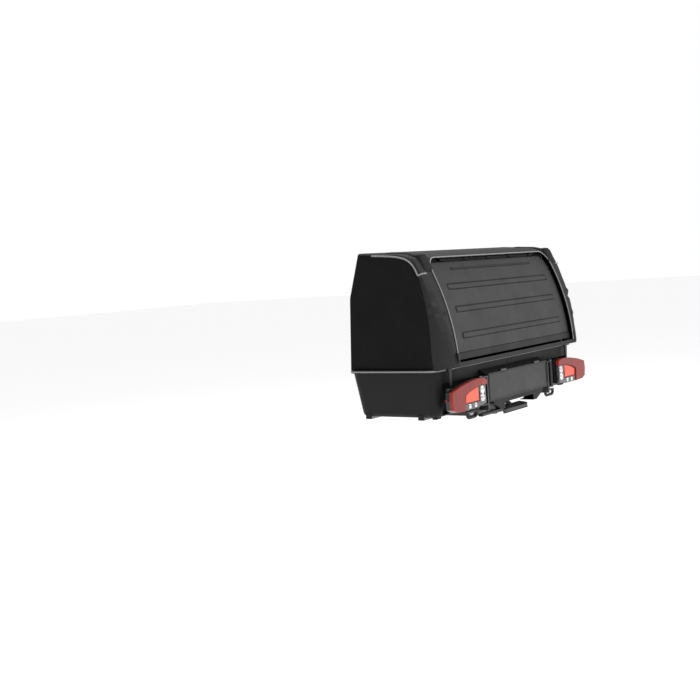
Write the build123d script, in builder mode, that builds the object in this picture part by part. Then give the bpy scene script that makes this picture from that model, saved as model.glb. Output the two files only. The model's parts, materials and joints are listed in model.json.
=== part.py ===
from build123d import *
import os
from math import cos, radians, sin, sqrt

# Soft-sided cargo box on a tilting tow-ball platform.
# Millimetres. Origin: centre of the 50 mm tow ball. +X to the right, +Y forward towards the car, +Z up.
# The box's rear, with its door, lamps and number plate, faces -Y.

# ---------------------------------------------------------------- driving dimensions
# Box
rim_width = 1230.0          # across the tray's rim
rim_depth = 435.0           # rear to front over the rim
tray_height = 194.0         # rim down to the tray's underside
hood_height = 477.0         # rim up to the roof
ball_to_rear = 480.0        # ball centre back to the rim's rear edge
ball_to_rim = 265.0         # ball centre up to the rim
# Tray
rim_lip = 11.0              # how far the rim stands proud of the walls
rim_thick = 12.0            # height of the rim's edge
rim_corner = 50.0
tray_wall = 3.5
side_taper = 14.0           # how far each side wall leans in towards the bottom
rear_taper = 9.0
front_taper = 28.0          # the front wall leans back more, to clear the car's bumper
bottom_round = 20.0
# Hood
hood_inset = 12.0           # hood fabric in from the rim's edge at the sides and the front
fabric = 3.0
bow_radius = 931.0          # rear of the hood, seen from the side
bow_forward = 880.0         # bow centre forward of the rim's rear edge
bow_drop = 32.0             # bow centre below the rim
shoulder_drop = 36.0        # rear top edge below the roof's highest point
roof_break = 142.0          # rear rim edge forward to where the roof levels out
roof_break_drop = 16.0
roof_end = 346.0            # rear rim edge forward to the roof's front edge
front_knee = 297.0          # rim up to where the front panel starts to lean back
front_lean = 20.0           # how far it has leaned back there
hood_corner = 45.0          # plan radius of the hood's rear corners
hood_gap = 2.0              # hood foot above the rim
# Door
opening_width = 1030.0
opening_round = 60.0
opening_sill = 20.0         # rim up to the opening's lower edge
header_height = 40.0        # roof down to the opening's upper edge
door_gap = 8.0              # between the door and the opening at the sides and below
hinge_gap = 16.0            # between the door and the opening's upper edge
door_recess = 14.0          # door face in from the fabric round it
door_thick = 3.0
hem_height = 26.0           # flat band along the door's lower edge
rib_height = 18.0
rib_proud = 2.5
rib_levels = (121.0, 226.0, 318.0)     # rim up to each rib's centre line
rib_margin = 75.0           # rib end in from the door's edge
hinge_rod_radius = 3.5
hinge_rod_length = 800.0
knuckle_wall = 2.5
knuckle_length = 30.0
# Zips and trim
slider_size = (9.0, 9.0, 24.0)         # across, out from the fabric, along the zip
slider_pull = 55.0
slider_gap = 0.6            # between the piping and each slider
piping_radius = 3.5
piping_band = 5.0           # width of the piping round the door opening
piping_lift = 0.1           # its back off the fabric
strap_drop = 54.0           # rear top edge down to each strap's lower end
piping_low = 378.0          # rim up to the side piping's rear end
hook_from_middle = 520.0
hook_size = (26.0, 6.0, 72.0)
hook_slant = 84.0           # angle of each hook's long edges, in degrees
hoop_radius = 6.0
hoop_corner = 60.0
hoop_inset = 16.0           # hoop centre line in from the roof and front fabric
hoop_from_side = 30.0
strap_width = 38.0
strap_thick = 3.0
strap_from_middle = 540.0
strap_ahead = 90.0          # how far the strap runs forward past the roof's break
buckle_size = (56.0, 14.0)  # width of the pad over each strap, and its height off the fabric
buckle_ahead = -30.0
# Frame under the tray
beam_width = 28.0
beam_height = 22.0
beam_wall = 2.0
beam_clear = 2.0            # channel round each cross beam
rear_beam_in = 99.0         # rear rim edge forward to the rear cross beam's middle
front_beam_in = 356.0
beam_sunk = 13.0            # cross beam top above the tray's underside
rail_width = 12.0
rail_height = 18.0
rail_from_middle = 66.0
cheek_thick = 8.0
bolt_radius = 4.0
bolt_spread = 560.0         # tray bolts along each cross beam, first to last
# Tilt hinge
axle_back = 300.0           # ball centre back to the tilt axle
axle_up = 15.0
axle_radius = 8.0
pivot_tube_radius = 18.0
side_play = 0.5             # between each bush flange and its cheek
bush_wall = 2.5
bush_flange = 2.5
axle_fit = 0.05             # running clearance, on the radius
# Coupling and base
ball_radius = 25.0
ball_fit = 0.1              # clamp clearance, on the radius
socket_wall = 12.0
socket_band = 18.0          # height of the socket's cylindrical band
socket_skirt = 9.0          # how much of it is below the ball's centre
base_width = 60.0
base_height = 40.0
base_wall = 4.0
base_drop = 5.0             # base beam's underside below the ball centre
jaw_width = 30.0
jaw_thick = 10.0
jaw_pin_radius = 4.0
jaw_pin_forward = 31.0
jaw_pin_up = 24.0
jaw_play = 0.5
lever_pin_radius = 5.0
lock_rise = 34.0            # lever pin up to the lock's middle
grip_above_lock = 22.0
lever_up = 56.0             # ball centre up to the lever's pin
lever_forward = 10.0
lever_length = 165.0
lever_thick = 6.0
lever_gauge = 44.0          # over the lever's two arms
grip_length = 92.0
grip_radius = 13.0
lock_radius = 9.0
pin_fit = 0.05
# Pedal and latch
pedal_half = 122.0
pedal_back = 492.0          # ball centre back to the pedal's rear lip
pedal_front_back = 440.0
pedal_low = 22.0            # lip's lower edge above the ball centre
pedal_lip = 17.0
pedal_rise = 7.0            # front edge above the lip's top
pedal_thick = 5.0
pedal_round = 30.0
pedal_arm_from_middle = 76.0
pedal_arm_thick = 7.0
pedal_pin_back = 424.0
pedal_pin_up = 24.0
pedal_pin_radius = 5.0
pedal_side_play = 0.5       # between each arm and its ear
ear_thick = 7.0
crank = 14.0                # pedal pin up to the rod, and hook pin down to the rod
rod_radius = 3.0
rod_from_middle = 44.0
hook_back = 150.0
hook_thick = 6.0
hook_from_middle_side = 36.0
hook_pin_radius = 4.0
link_pin_radius = 2.5
link_play = 0.25            # open pivots at both ends of the rod
striker_radius = 5.0
striker_drop = 36.0         # hook pin down to the striker
striker_play = 0.5
latched_turn = 13.0         # hook turned this far, in degrees, from the modelled pose to where it is latched
hook_reach = 2.0            # latched hook's tip past the striker's middle
# Rear end
console_half = 262.0
console_back = 28.0         # console face behind the rim's rear edge
console_top_drop = 37.0     # rim down to the console's sloping top
console_slope = 22.0        # height of that slope
console_wall = 3.0
plate_size = (520.0, 110.0)
plate_thick = 1.5
plate_drop = 57.0           # rim down to the number plate's upper edge
holder_lip = 4.0
holder_thick = 5.0
belly_top_half = 224.0
belly_bottom_half = 160.0
belly_chamfer = 31.0
belly_front = 440.0         # ball centre back to the belly cover's open front
notch_half = 130.0          # opening in the belly cover above the pedal
notch_height = 26.0
belly_foot_drop = 215.0     # rim down to the belly cover's underside
# Lamps
lamp_inner = 330.0          # middle out to the lamp's inner end
lamp_outer = 604.0
lamp_face_back = 60.0       # lamp face behind the rim's rear edge
lamp_body_depth = 46.0
lamp_top_drop = 56.0
lamp_bottom_drop = 176.0
lens_thick = 12.0
recess_inner = 280.0
recess_outer = 552.0
recess_top_drop = 60.0
recess_bottom_drop = 186.0
recess_depth = 62.0
lamp_pin_x = 318.0
lamp_pin_back = 24.0        # lamp hinge behind the rim's rear edge
lamp_pin_radius = 4.0
knuckle_radius = 9.0
lug_thick = 6.0
loop_half = 43.0
loop_from_middle = 350.0
loop_drop = 222.0           # rim down to the loop's centre line at its lowest
loop_radius = 6.5
loop_bend = 14.0
post_inner = 270.0          # middle out to the lamp bracket's post
post_thick = 10.0
bracket_thick = 9.0
arm_half = 20.0
duct_y = (-20.0, 2.0)       # cable duct's back and front, from the rim's rear edge
duct_height = 11.5

# ---------------------------------------------------------------- derived places
rear = -ball_to_rear                       # rim's rear edge
front = rear + rim_depth                   # rim's front edge
rim = ball_to_rim                          # rim height
floor = rim - tray_height                  # tray's underside
half = rim_width / 2
roof = rim + hood_height
hood_half = half - hood_inset
hood_foot = rim + hood_gap
hood_front = front - hood_inset
bow_y0 = rear + bow_forward
bow_z0 = rim - bow_drop
shoulder = roof - shoulder_drop
opening_half = opening_width / 2
opening_low = rim + opening_sill
opening_high = roof - header_height
door_half = opening_half - door_gap
door_low = opening_low + door_gap
door_high = opening_high - hinge_gap
door_radius = bow_radius - door_recess
beam_top = floor + beam_sunk
beam_bottom = beam_top - beam_height
rear_beam_y = rear + rear_beam_in
front_beam_y = rear + front_beam_in
rail_top = beam_bottom
rail_bottom = rail_top - rail_height
cheek_inner = rail_from_middle - rail_width / 2 - cheek_thick
pivot_half = cheek_inner - side_play - bush_flange
axle_y = -axle_back
socket_radius = ball_radius + ball_fit
base_bottom = -base_drop
base_top = base_bottom + base_height
console_face = rear - console_back
lamp_face = rear - lamp_face_back
lamp_pin_y = rear - lamp_pin_back
pedal_pin_y = -pedal_pin_back
rod_z = pedal_pin_up + crank
hook_y = -hook_back
hook_pin_z = rod_z + crank

os.makedirs("parts", exist_ok=True)


def save(builder, name):
    """Label a finished piece and write it to its own file."""
    builder.part.label = name
    export_step(builder.part, f"parts/{name}.step")


def bow_y(radius, height):
    """Y of a curve concentric with the hood's rear bow, at a height."""
    return bow_y0 - sqrt(radius**2 - (height - bow_z0) ** 2)


def bow_point(radius, height):
    return (bow_y(radius, height), height)


def box(low, high, mode=Mode.ADD):
    """A box between two corners, inside the current part."""
    size = [b - a for a, b in zip(low, high)]
    middle = [(a + b) / 2 for a, b in zip(low, high)]
    with Locations(tuple(middle)):
        return Box(*size, mode=mode)


def rod_x(x0, x1, y, z, radius, mode=Mode.ADD):
    """A round bar along X between x0 and x1."""
    with BuildSketch(Plane.YZ.offset(x0)) as section:
        with Locations((y, z)):
            Circle(radius)
    return extrude(section.sketch, amount=x1 - x0, mode=mode)


def tube_path(points, radii, radius):
    """A round bar along straight runs joined by arcs."""
    with BuildLine() as path:
        FilletPolyline(*points, radius=radii)
    line = path.wires()[0]
    with BuildSketch(Plane(line @ 0, z_dir=line % 0)) as section:
        Circle(radius)
    sweep(section.sketch, path=line)


# ---------------------------------------------------------------- tray
def tray_block(inset, top):
    """The tray's tapered block, drawn in by an inset, from its underside up to a height."""
    top_y0, top_y1 = rear + rim_lip + inset, front - rim_lip - inset
    low_y0, low_y1 = top_y0 + rear_taper, top_y1 - front_taper
    top_x = half - rim_lip - inset
    low_x = top_x - side_taper
    with BuildPart() as block:
        with BuildSketch(Plane.XY.offset(floor + inset)):
            with Locations((0, (low_y0 + low_y1) / 2)):
                RectangleRounded(2 * low_x, low_y1 - low_y0, rim_corner - rim_lip - inset)
        with BuildSketch(Plane.XY.offset(top)):
            with Locations((0, (top_y0 + top_y1) / 2)):
                RectangleRounded(2 * top_x, top_y1 - top_y0, rim_corner - rim_lip - inset)
        loft(ruled=True)
        fillet(block.faces().sort_by(Axis.Z)[0].edges(), bottom_round - inset)
        # cross-beam channels and lamp recesses, grown by the inset so that the wall keeps its thickness
        for y in (rear_beam_y, front_beam_y):
            side = beam_width / 2 + beam_clear + inset
            box((-half, y - side, floor - 1), (half, y + side, beam_top + beam_clear + inset), Mode.SUBTRACT)
        for s in (1, -1):
            x0, x1 = sorted((s * (recess_inner - inset), s * (recess_outer + inset)))
            box(
                (x0, rear - 1, rim - recess_bottom_drop - inset),
                (x1, rear + recess_depth + inset, rim - recess_top_drop + inset),
                Mode.SUBTRACT,
            )
    return block.part


with BuildPart() as tray:
    add(tray_block(0, rim - rim_thick))
    with BuildSketch(Plane.XY.offset(rim - rim_thick)):
        with Locations((0, (rear + front) / 2)):
            RectangleRounded(rim_width, rim_depth, rim_corner)
    extrude(amount=rim_thick)
    with BuildSketch(Plane.XY.offset(rim - rim_thick - 1)):
        with Locations((0, (rear + front) / 2)):
            clear = rim_lip + tray_wall
            RectangleRounded(rim_width - 2 * clear, rim_depth - 2 * clear, rim_corner - clear)
    extrude(amount=rim_thick + 2, mode=Mode.SUBTRACT)
    add(tray_block(tray_wall, rim - rim_thick), mode=Mode.SUBTRACT)
    with Locations(*[(x, y, floor) for x in (-bolt_spread / 2, bolt_spread / 2) for y in (rear_beam_y, front_beam_y)]):
        Cylinder(bolt_radius + 0.5, 2 * (beam_sunk + 2 * tray_wall + beam_clear), mode=Mode.SUBTRACT)
save(tray, "tray")

with BuildPart() as rim_piping:
    with BuildSketch(Plane.XY.offset(rim - rim_thick + 2.5)):
        with Locations((0, (rear + front) / 2)):
            RectangleRounded(rim_width + 4, rim_depth + 4, rim_corner + 2)
            RectangleRounded(rim_width + 0.1, rim_depth + 0.1, rim_corner, mode=Mode.SUBTRACT)
    extrude(amount=2 * piping_radius)
    for s in (1, -1):
        gap = hook_size[0] / 2 + 3
        box(
            (s * hook_from_middle - gap, rear - 10, rim - rim_thick - 5),
            (s * hook_from_middle + gap, rear + 10, rim + 5),
            Mode.SUBTRACT,
        )
save(rim_piping, "rim_piping")


# ---------------------------------------------------------------- hood fabric
def hood_outline(inset, foot):
    """The hood seen from the side, drawn in by an inset, standing on a foot height."""
    radius = bow_radius - inset
    with BuildSketch(Plane.YZ) as outline:
        with BuildLine():
            low, high = bow_point(radius, foot), bow_point(radius, shoulder - inset)
            ThreePointArc(low, bow_point(radius, (foot + shoulder) / 2), high)
            Polyline(
                high,
                (rear + roof_break, roof - roof_break_drop - inset),
                (rear + roof_end, roof - inset),
                (hood_front - front_lean - inset, rim + front_knee),
                (hood_front - inset, foot),
                low,
            )
        make_face()
    return outline.sketch


def hood_block(inset, foot):
    """The hood's outer shape as a solid with rounded rear corners, drawn in by an inset."""
    with BuildPart() as block:
        extrude(hood_outline(inset, foot), amount=hood_half - inset, both=True)
        bows = block.edges().filter_by(lambda e: e.geom_type == GeomType.CIRCLE)
        fillet(bows, hood_corner - inset)
    return block.part


def opening_prism(gap, low, high):
    """Prism along Y through the door opening, narrower by a gap each side, with rounded upper corners."""
    with BuildPart() as prism:
        with BuildSketch(Plane.XZ.offset(-rear)) as outline:
            with Locations((0, (low + high) / 2)):
                Rectangle(2 * (opening_half - gap), high - low)
            fillet(outline.vertices().group_by(Axis.Z)[-1], opening_round - gap)
        extrude(outline.sketch, amount=rim_depth / 2, both=True)
    return prism.part


with BuildPart() as hood_shell:
    add(hood_block(0, hood_foot))
    add(hood_block(fabric, hood_foot + fabric), mode=Mode.SUBTRACT)
    # open underneath, except for the strip that closes the overhang behind the rim
    box(
        (fabric - hood_half, rear + rim_lip, hood_foot - 1),
        (hood_half - fabric, hood_front - fabric, hood_foot + fabric + 1),
        Mode.SUBTRACT,
    )
    add(opening_prism(0, opening_low, opening_high), mode=Mode.SUBTRACT)

crease_radius = bow_radius - hood_corner     # where the flat side meets the rounded rear corner
roof_split = shoulder - 12.0                 # seam between the roof and the panels below it
far = rim_width                              # larger than any panel


def inside_bow(radius, mode):
    """Keep or cut what lies within a radius of the bow's centre line."""
    rod_x(-far, far, bow_y0, bow_z0, radius, mode)


for s, side_name in ((1, "right"), (-1, "left")):
    flat0, flat1 = sorted((s * (hood_half - fabric), s * (hood_half + 1)))
    with BuildPart() as hood_side:
        add(hood_shell.part)
        box((flat0, rear - 100, hood_foot - 1), (flat1, front, roof + 1), Mode.INTERSECT)
        inside_bow(crease_radius, Mode.INTERSECT)
    save(hood_side, f"hood_side_{side_name}")

    out0, out1 = sorted((s * (opening_half - opening_round - 1), s * (hood_half + 1)))
    with BuildPart() as hood_corner_piece:
        add(hood_shell.part)
        box((out0, rear - 100, hood_foot - 1), (out1, front, roof_split), Mode.INTERSECT)
        inside_bow(crease_radius, Mode.SUBTRACT)
        in0, in1 = sorted((0, s * opening_half))
        box((in0, rear - 100, hood_foot - 2), (in1, front, opening_low), Mode.SUBTRACT)
    save(hood_corner_piece, f"hood_corner_{side_name}")

with BuildPart() as hood_roof:
    add(hood_shell.part)
    box((fabric - hood_half, rear - 100, roof_split), (hood_half - fabric, front, roof + 1), Mode.INTERSECT)
save(hood_roof, "hood_roof")

with BuildPart() as hood_front_panel:
    add(hood_shell.part)
    box(
        (fabric - hood_half, rear + roof_end - 30, hood_foot - 1),
        (hood_half - fabric, front, roof_split),
        Mode.INTERSECT,
    )
save(hood_front_panel, "hood_front")

with BuildPart() as hood_sill:
    add(hood_shell.part)
    box((-opening_half, rear - 100, hood_foot - 1), (opening_half, rear + 50, opening_low), Mode.INTERSECT)
save(hood_sill, "hood_sill")


# ---------------------------------------------------------------- door
def bow_band(outer, inner, low, high, half_width):
    """A curved sheet along X between two radii of the bow and two heights."""
    with BuildPart() as band:
        with BuildSketch(Plane.YZ):
            with BuildLine():
                middle = (low + high) / 2
                ThreePointArc(bow_point(outer, low), bow_point(outer, middle), bow_point(outer, high))
                Line(bow_point(outer, high), bow_point(inner, high))
                ThreePointArc(bow_point(inner, high), bow_point(inner, middle), bow_point(inner, low))
                Line(bow_point(inner, low), bow_point(outer, low))
            make_face()
        extrude(amount=half_width, both=True)
    return band.part


hem_top = door_low + hem_height
with BuildPart() as door_panel:
    add(bow_band(door_radius, door_radius - door_thick, hem_top, door_high, door_half))
    add(opening_prism(door_gap, door_low, door_high), mode=Mode.INTERSECT)
    for level in rib_levels:
        low = rim + level - rib_height / 2
        add(bow_band(door_radius + rib_proud, door_radius - 1, low, low + rib_height, door_half - rib_margin))
    low = rim + hood_height - header_height - door_gap - 42.0
    add(bow_band(door_radius + rib_proud, door_radius - 1, low, low + rib_height / 2, 0.68 * door_half))
save(door_panel, "door_panel")

with BuildPart() as door_hem:
    add(bow_band(door_radius + 2, door_radius - door_thick - 1, door_low, hem_top, door_half))
save(door_hem, "door_hem")

# The door hangs from a rod level with its outer face, which turns in knuckles on the header.
hinge_z = opening_high - hinge_gap / 2
hinge_y = bow_y(door_radius, hinge_z) - 1.0
knuckle_radius_out = hinge_rod_radius + pin_fit + knuckle_wall
knuckle_starts = [k * (hinge_rod_length - knuckle_length) / 4 - hinge_rod_length / 2 for k in range(5)]
with BuildPart() as door_hinge_rod:
    rod_x(-hinge_rod_length / 2, hinge_rod_length / 2, hinge_y, hinge_z, hinge_rod_radius)
    for x in knuckle_starts[:-1]:
        x0, x1 = x + knuckle_length + 3, x + (hinge_rod_length - knuckle_length) / 4 - 3
        box((x0, hinge_y + 0.5, door_high - 8), (x1, hinge_y + 3, hinge_z))
    add(bow_band(door_radius + far, door_radius - door_thick, door_high - 9, door_high, half), mode=Mode.SUBTRACT)
save(door_hinge_rod, "door_hinge_rod")

with BuildPart() as hinge_rail:
    for x in knuckle_starts:
        rod_x(x, x + knuckle_length, hinge_y, hinge_z, knuckle_radius_out)
    box(
        (-hinge_rod_length / 2, hinge_y + knuckle_radius_out - 1.5, hinge_z - 3),
        (hinge_rod_length / 2, hinge_y + knuckle_radius_out + 1, opening_high + 3),
    )
    rod_x(-half, half, hinge_y, hinge_z, hinge_rod_radius + pin_fit, Mode.SUBTRACT)
save(hinge_rail, "hinge_rail")

# ---------------------------------------------------------------- zips, piping, hoops, straps
slider_low = opening_low + 14.0
slider_base = bow_radius + 0.5
for s, side_name in ((1, "right"), (-1, "left")):
    at_edge = Location((s * (opening_half + piping_band + slider_gap + slider_size[0] / 2), 0, 0))
    slider_out = slider_base + slider_size[1]
    with BuildPart() as zip_slider:
        body = bow_band(slider_out, slider_base, slider_low, slider_low + slider_size[2], slider_size[0] / 2)
        add(body.moved(at_edge))
        tab = bow_band(slider_out, slider_out - 3, slider_low - slider_pull / 2, slider_low + 6, slider_size[0] / 3)
        add(tab.moved(at_edge))
    save(zip_slider, f"zip_slider_{side_name}")

with BuildPart() as opening_piping:
    add(opening_prism(-piping_band, opening_low, opening_high + piping_band))
    add(opening_prism(0, opening_low - far, opening_high), mode=Mode.SUBTRACT)
    add(bow_band(bow_radius + piping_radius, bow_radius + piping_lift, opening_low, opening_high + piping_band, half),
        mode=Mode.INTERSECT)
save(opening_piping, "opening_piping")


def hood_layer(outer, inner):
    """The space between two offsets of the hood's outer surface."""
    with BuildPart() as layer:
        add(hood_block(-outer, hood_foot))
        add(hood_block(-inner, hood_foot - 1), mode=Mode.SUBTRACT)
    return layer.part


with BuildPart() as side_piping:
    extrude(hood_outline(-piping_radius, hood_foot), amount=hood_half + piping_radius, both=True)
    extrude(hood_outline(piping_radius, hood_foot - 1), amount=far, both=True, mode=Mode.SUBTRACT)
    box((-hood_half, rear - 200, floor), (hood_half, front + 100, roof + 100), Mode.SUBTRACT)
    box((-far, rear - 100, rim + piping_low), (far, rear + roof_end, roof + 10), Mode.INTERSECT)
save(side_piping, "side_piping")

strap_layer = hood_layer(strap_thick + 0.3, 0.3)
buckle_layer = hood_layer(buckle_size[1], strap_thick + 0.6)
strap_low = shoulder - strap_drop
for layer, width, low, ahead, name in (
    (strap_layer, strap_width, strap_low, strap_ahead, "corner_straps"),
    (buckle_layer, buckle_size[0], strap_low + 6, buckle_ahead, "strap_buckles"),
):
    with BuildPart() as strip:
        add(layer)
        outer, inner = strap_from_middle + width / 2, strap_from_middle - width / 2
        box((-outer, rear - 100, low), (outer, rear + roof_break + ahead, roof + 20), Mode.INTERSECT)
        box((-inner, -far, -far), (inner, far, roof + far), Mode.SUBTRACT)
    save(strip, name)

with BuildPart() as corner_hooks:
    hook_w, hook_t, hook_l = hook_size
    for s in (1, -1):
        with BuildSketch(Plane.XZ.offset(-(rear - 3))) as tongue:
            with Locations((s * hook_from_middle, hood_foot - hook_l / 2)):
                Trapezoid(hook_w, hook_l, hook_slant, rotation=180)
        extrude(tongue.sketch, amount=hook_t)
save(corner_hooks, "corner_hooks")

hoop_x = hood_half - hoop_from_side
hoop_feet = {"front": hood_front - hoop_inset - 8, "rear": rear + 32.0}
hoop_tops = {"front": (rear + roof_end - hoop_inset, roof - hoop_inset), "rear": (rear + 118.0, shoulder)}
hoop_sunk = 26.0
socket_half = 13.0
with BuildPart() as hoops:
    for place in ("front", "rear"):
        top_y, top_z = hoop_tops[place]
        foot_y, foot_z = hoop_feet[place], rim - hoop_sunk
        tube_path(
            [(-hoop_x, foot_y, foot_z), (-hoop_x, top_y, top_z), (hoop_x, top_y, top_z), (hoop_x, foot_y, foot_z)],
            hoop_corner,
            hoop_radius,
        )
save(hoops, "hoops")

with BuildPart() as hoop_sockets:
    for place in ("front", "rear"):
        top_y, top_z = hoop_tops[place]
        foot_y, foot_z = hoop_feet[place], rim - hoop_sunk
        lean = (top_y - foot_y) / (top_z - foot_z)
        for s in (1, -1):
            with BuildSketch(Plane.XY.offset(foot_z - 5)) as cup:
                with Locations((s * hoop_x, foot_y)):
                    Circle(socket_half)
            extrude(cup.sketch, amount=hoop_sunk + 11)
            leg = Plane(origin=(s * hoop_x, foot_y, foot_z), x_dir=(1, 0, 0), z_dir=(0, lean, 1))
            with BuildSketch(leg) as bore:
                Circle(hoop_radius + 0.1)
            extrude(bore.sketch, amount=hoop_sunk + 20, mode=Mode.SUBTRACT)
save(hoop_sockets, "hoop_sockets")

# ---------------------------------------------------------------- frame under the tray
beam_half = half - rim_lip - side_taper - 4.0
with BuildPart() as cross_beams:
    for y in (rear_beam_y, front_beam_y):
        box((-beam_half, y - beam_width / 2, beam_bottom), (beam_half, y + beam_width / 2, beam_top))
        box(
            (-far, y - beam_width / 2 + beam_wall, beam_bottom + beam_wall),
            (far, y + beam_width / 2 - beam_wall, beam_top - beam_wall),
            Mode.SUBTRACT,
        )
        with Locations((-bolt_spread / 2, y, beam_bottom), (bolt_spread / 2, y, beam_bottom)):
            Cylinder(bolt_radius + 0.3, 4 * beam_height, mode=Mode.SUBTRACT)
save(cross_beams, "cross_beams")

cap_thick = 3.0
with BuildPart() as beam_caps:
    for y in (rear_beam_y, front_beam_y):
        for s in (1, -1):
            x0, x1 = sorted((s * beam_half, s * (beam_half + cap_thick)))
            box((x0, y - beam_width / 2, beam_bottom), (x1, y + beam_width / 2, beam_top))
            x0, x1 = sorted((s * beam_half, s * (beam_half - 14)))
            inner = beam_width / 2 - beam_wall - 0.2
            box((x0, y - inner, beam_bottom + beam_wall + 0.2), (x1, y + inner, beam_top - beam_wall - 0.2))
save(beam_caps, "beam_caps")

with BuildPart() as frame_rails:
    for s in (1, -1):
        x0, x1 = sorted((s * (rail_from_middle - rail_width / 2), s * (rail_from_middle + rail_width / 2)))
        box(
            (x0, rear_beam_y - beam_width / 2, rail_bottom),
            (x1, front_beam_y + beam_width / 2, rail_top),
        )
save(frame_rails, "frame_rails")

cheek_long = 76.0
axle_boss = 20.0
with BuildPart() as hinge_cheeks:
    for s in (1, -1):
        start = cheek_inner if s > 0 else -cheek_inner - cheek_thick
        with BuildSketch(Plane.YZ.offset(start)) as cheek:
            with BuildLine():
                Polyline(
                    (axle_y - cheek_long / 2, rail_top),
                    (axle_y - cheek_long / 2, rail_bottom),
                    (axle_y - axle_boss, axle_up),
                    (axle_y + axle_boss, axle_up),
                    (axle_y + cheek_long / 2, rail_bottom),
                    (axle_y + cheek_long / 2, rail_top),
                    close=True,
                )
            make_face()
            with Locations((axle_y, axle_up)):
                Circle(axle_boss)
                Circle(axle_radius, mode=Mode.SUBTRACT)
        extrude(cheek.sketch, amount=cheek_thick)
save(hinge_cheeks, "hinge_cheeks")

axle_head = 4.0
with BuildPart() as tilt_axle:
    end = cheek_inner + cheek_thick
    rod_x(-end, end, axle_y, axle_up, axle_radius)
    for x in (-end - axle_head, end):
        rod_x(x, x + axle_head, axle_y, axle_up, axle_radius + 3)
save(tilt_axle, "tilt_axle")

washer_thick = 1.5
with BuildPart() as tray_bolts:
    for x in (-bolt_spread / 2, bolt_spread / 2):
        for y in (rear_beam_y, front_beam_y):
            head_z = beam_top + beam_clear + tray_wall
            with BuildSketch(Plane.XY.offset(beam_bottom - 6)) as shank:
                with Locations((x, y)):
                    Circle(bolt_radius)
            extrude(shank.sketch, amount=head_z - beam_bottom + 6)
            with BuildSketch(Plane.XY.offset(head_z)) as head:
                with Locations((x, y)):
                    Circle(2.6 * bolt_radius)
            extrude(head.sketch, amount=washer_thick + 3)
            with BuildSketch(Plane.XY.offset(beam_bottom - 6.5)) as nut:
                with Locations((x, y)):
                    RegularPolygon(1.8 * bolt_radius, 6)
            extrude(nut.sketch, amount=6.5)
save(tray_bolts, "tray_bolts")

with BuildPart() as rear_feet:
    for s in (1, -1):
        with BuildSketch(Plane.XY.offset(floor)) as foot:
            with Locations((s * (beam_half - 34), rear + 48)):
                RectangleRounded(44, 22, 8)
        extrude(foot.sketch, amount=-7, taper=6)
save(rear_feet, "rear_feet")

# ---------------------------------------------------------------- base, coupling and tilt bearing
bush_outer = axle_radius + axle_fit + bush_wall
base_rear = axle_y
base_front = -(socket_radius + socket_wall) + 6
with BuildPart() as base_beam:
    box((-base_width / 2, base_rear, base_bottom), (base_width / 2, base_front, base_top))
    inner = base_width / 2 - base_wall
    box(
        (-inner, base_rear - 1, base_bottom + base_wall),
        (inner, base_front + 1, base_top - base_wall),
        Mode.SUBTRACT,
    )
    rod_x(-pivot_half, pivot_half, axle_y, axle_up, pivot_tube_radius)
    rod_x(-far, far, axle_y, axle_up, bush_outer, Mode.SUBTRACT)
    reach = socket_radius + socket_wall
    with BuildSketch(Plane.XY.offset(base_bottom - 1)) as housing:
        Circle(reach)
    extrude(housing.sketch, amount=base_height + 2, mode=Mode.SUBTRACT)
save(base_beam, "base_beam")

with BuildPart() as pivot_bushes:
    for s in (1, -1):
        x0, x1 = sorted((s * (pivot_half - 24), s * pivot_half))
        rod_x(x0, x1, axle_y, axle_up, bush_outer)
        x0, x1 = sorted((s * pivot_half, s * (pivot_half + bush_flange)))
        rod_x(x0, x1, axle_y, axle_up, bush_outer + 4)
    rod_x(-far, far, axle_y, axle_up, axle_radius + axle_fit, Mode.SUBTRACT)
save(pivot_bushes, "pivot_bushes")

with BuildPart() as latch_striker:
    striker_z = hook_pin_z - striker_drop
    rod_x(base_width / 2, hook_from_middle_side + hook_thick / 2 + 3, hook_y, striker_z, striker_radius)
    rod_x(base_width / 2, base_width / 2 + 2, hook_y, striker_z, striker_radius + 3)
save(latch_striker, "latch_striker")

# Socket: a cylindrical band round the ball's equator and a dome above it. The jaw closes the front of it.
housing_radius = socket_radius + socket_wall
ear_half = lever_gauge / 2 - lever_thick - side_play
slot_half = jaw_width / 2 + jaw_play
slot_back = 14.0
slot_top = base_top - 3
with BuildPart() as coupling_body:
    with BuildSketch(Plane.XY.offset(-socket_skirt)) as housing:
        Circle(housing_radius)
    extrude(housing.sketch, amount=base_top + socket_skirt)
    # block that carries the lever's pin
    box((-ear_half, lever_forward - 16, base_top - 1), (ear_half, lever_forward + 12, lever_up + 10))
    fillet(coupling_body.faces().sort_by(Axis.Z)[-1].edges().filter_by(Axis.X), 8)
    box((-slot_half, slot_back, -socket_skirt - 1), (slot_half, far, slot_top), Mode.SUBTRACT)
    with BuildSketch(Plane.XY.offset(-socket_skirt - 1)) as band:
        Circle(socket_radius)
    extrude(band.sketch, amount=socket_band + 1, mode=Mode.SUBTRACT)
    Sphere(socket_radius, mode=Mode.SUBTRACT)
    rod_x(-far, far, lever_forward, lever_up, lever_pin_radius, Mode.SUBTRACT)
    rod_x(-far, far, jaw_pin_forward, jaw_pin_up, jaw_pin_radius, Mode.SUBTRACT)
save(coupling_body, "coupling_body")

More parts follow.
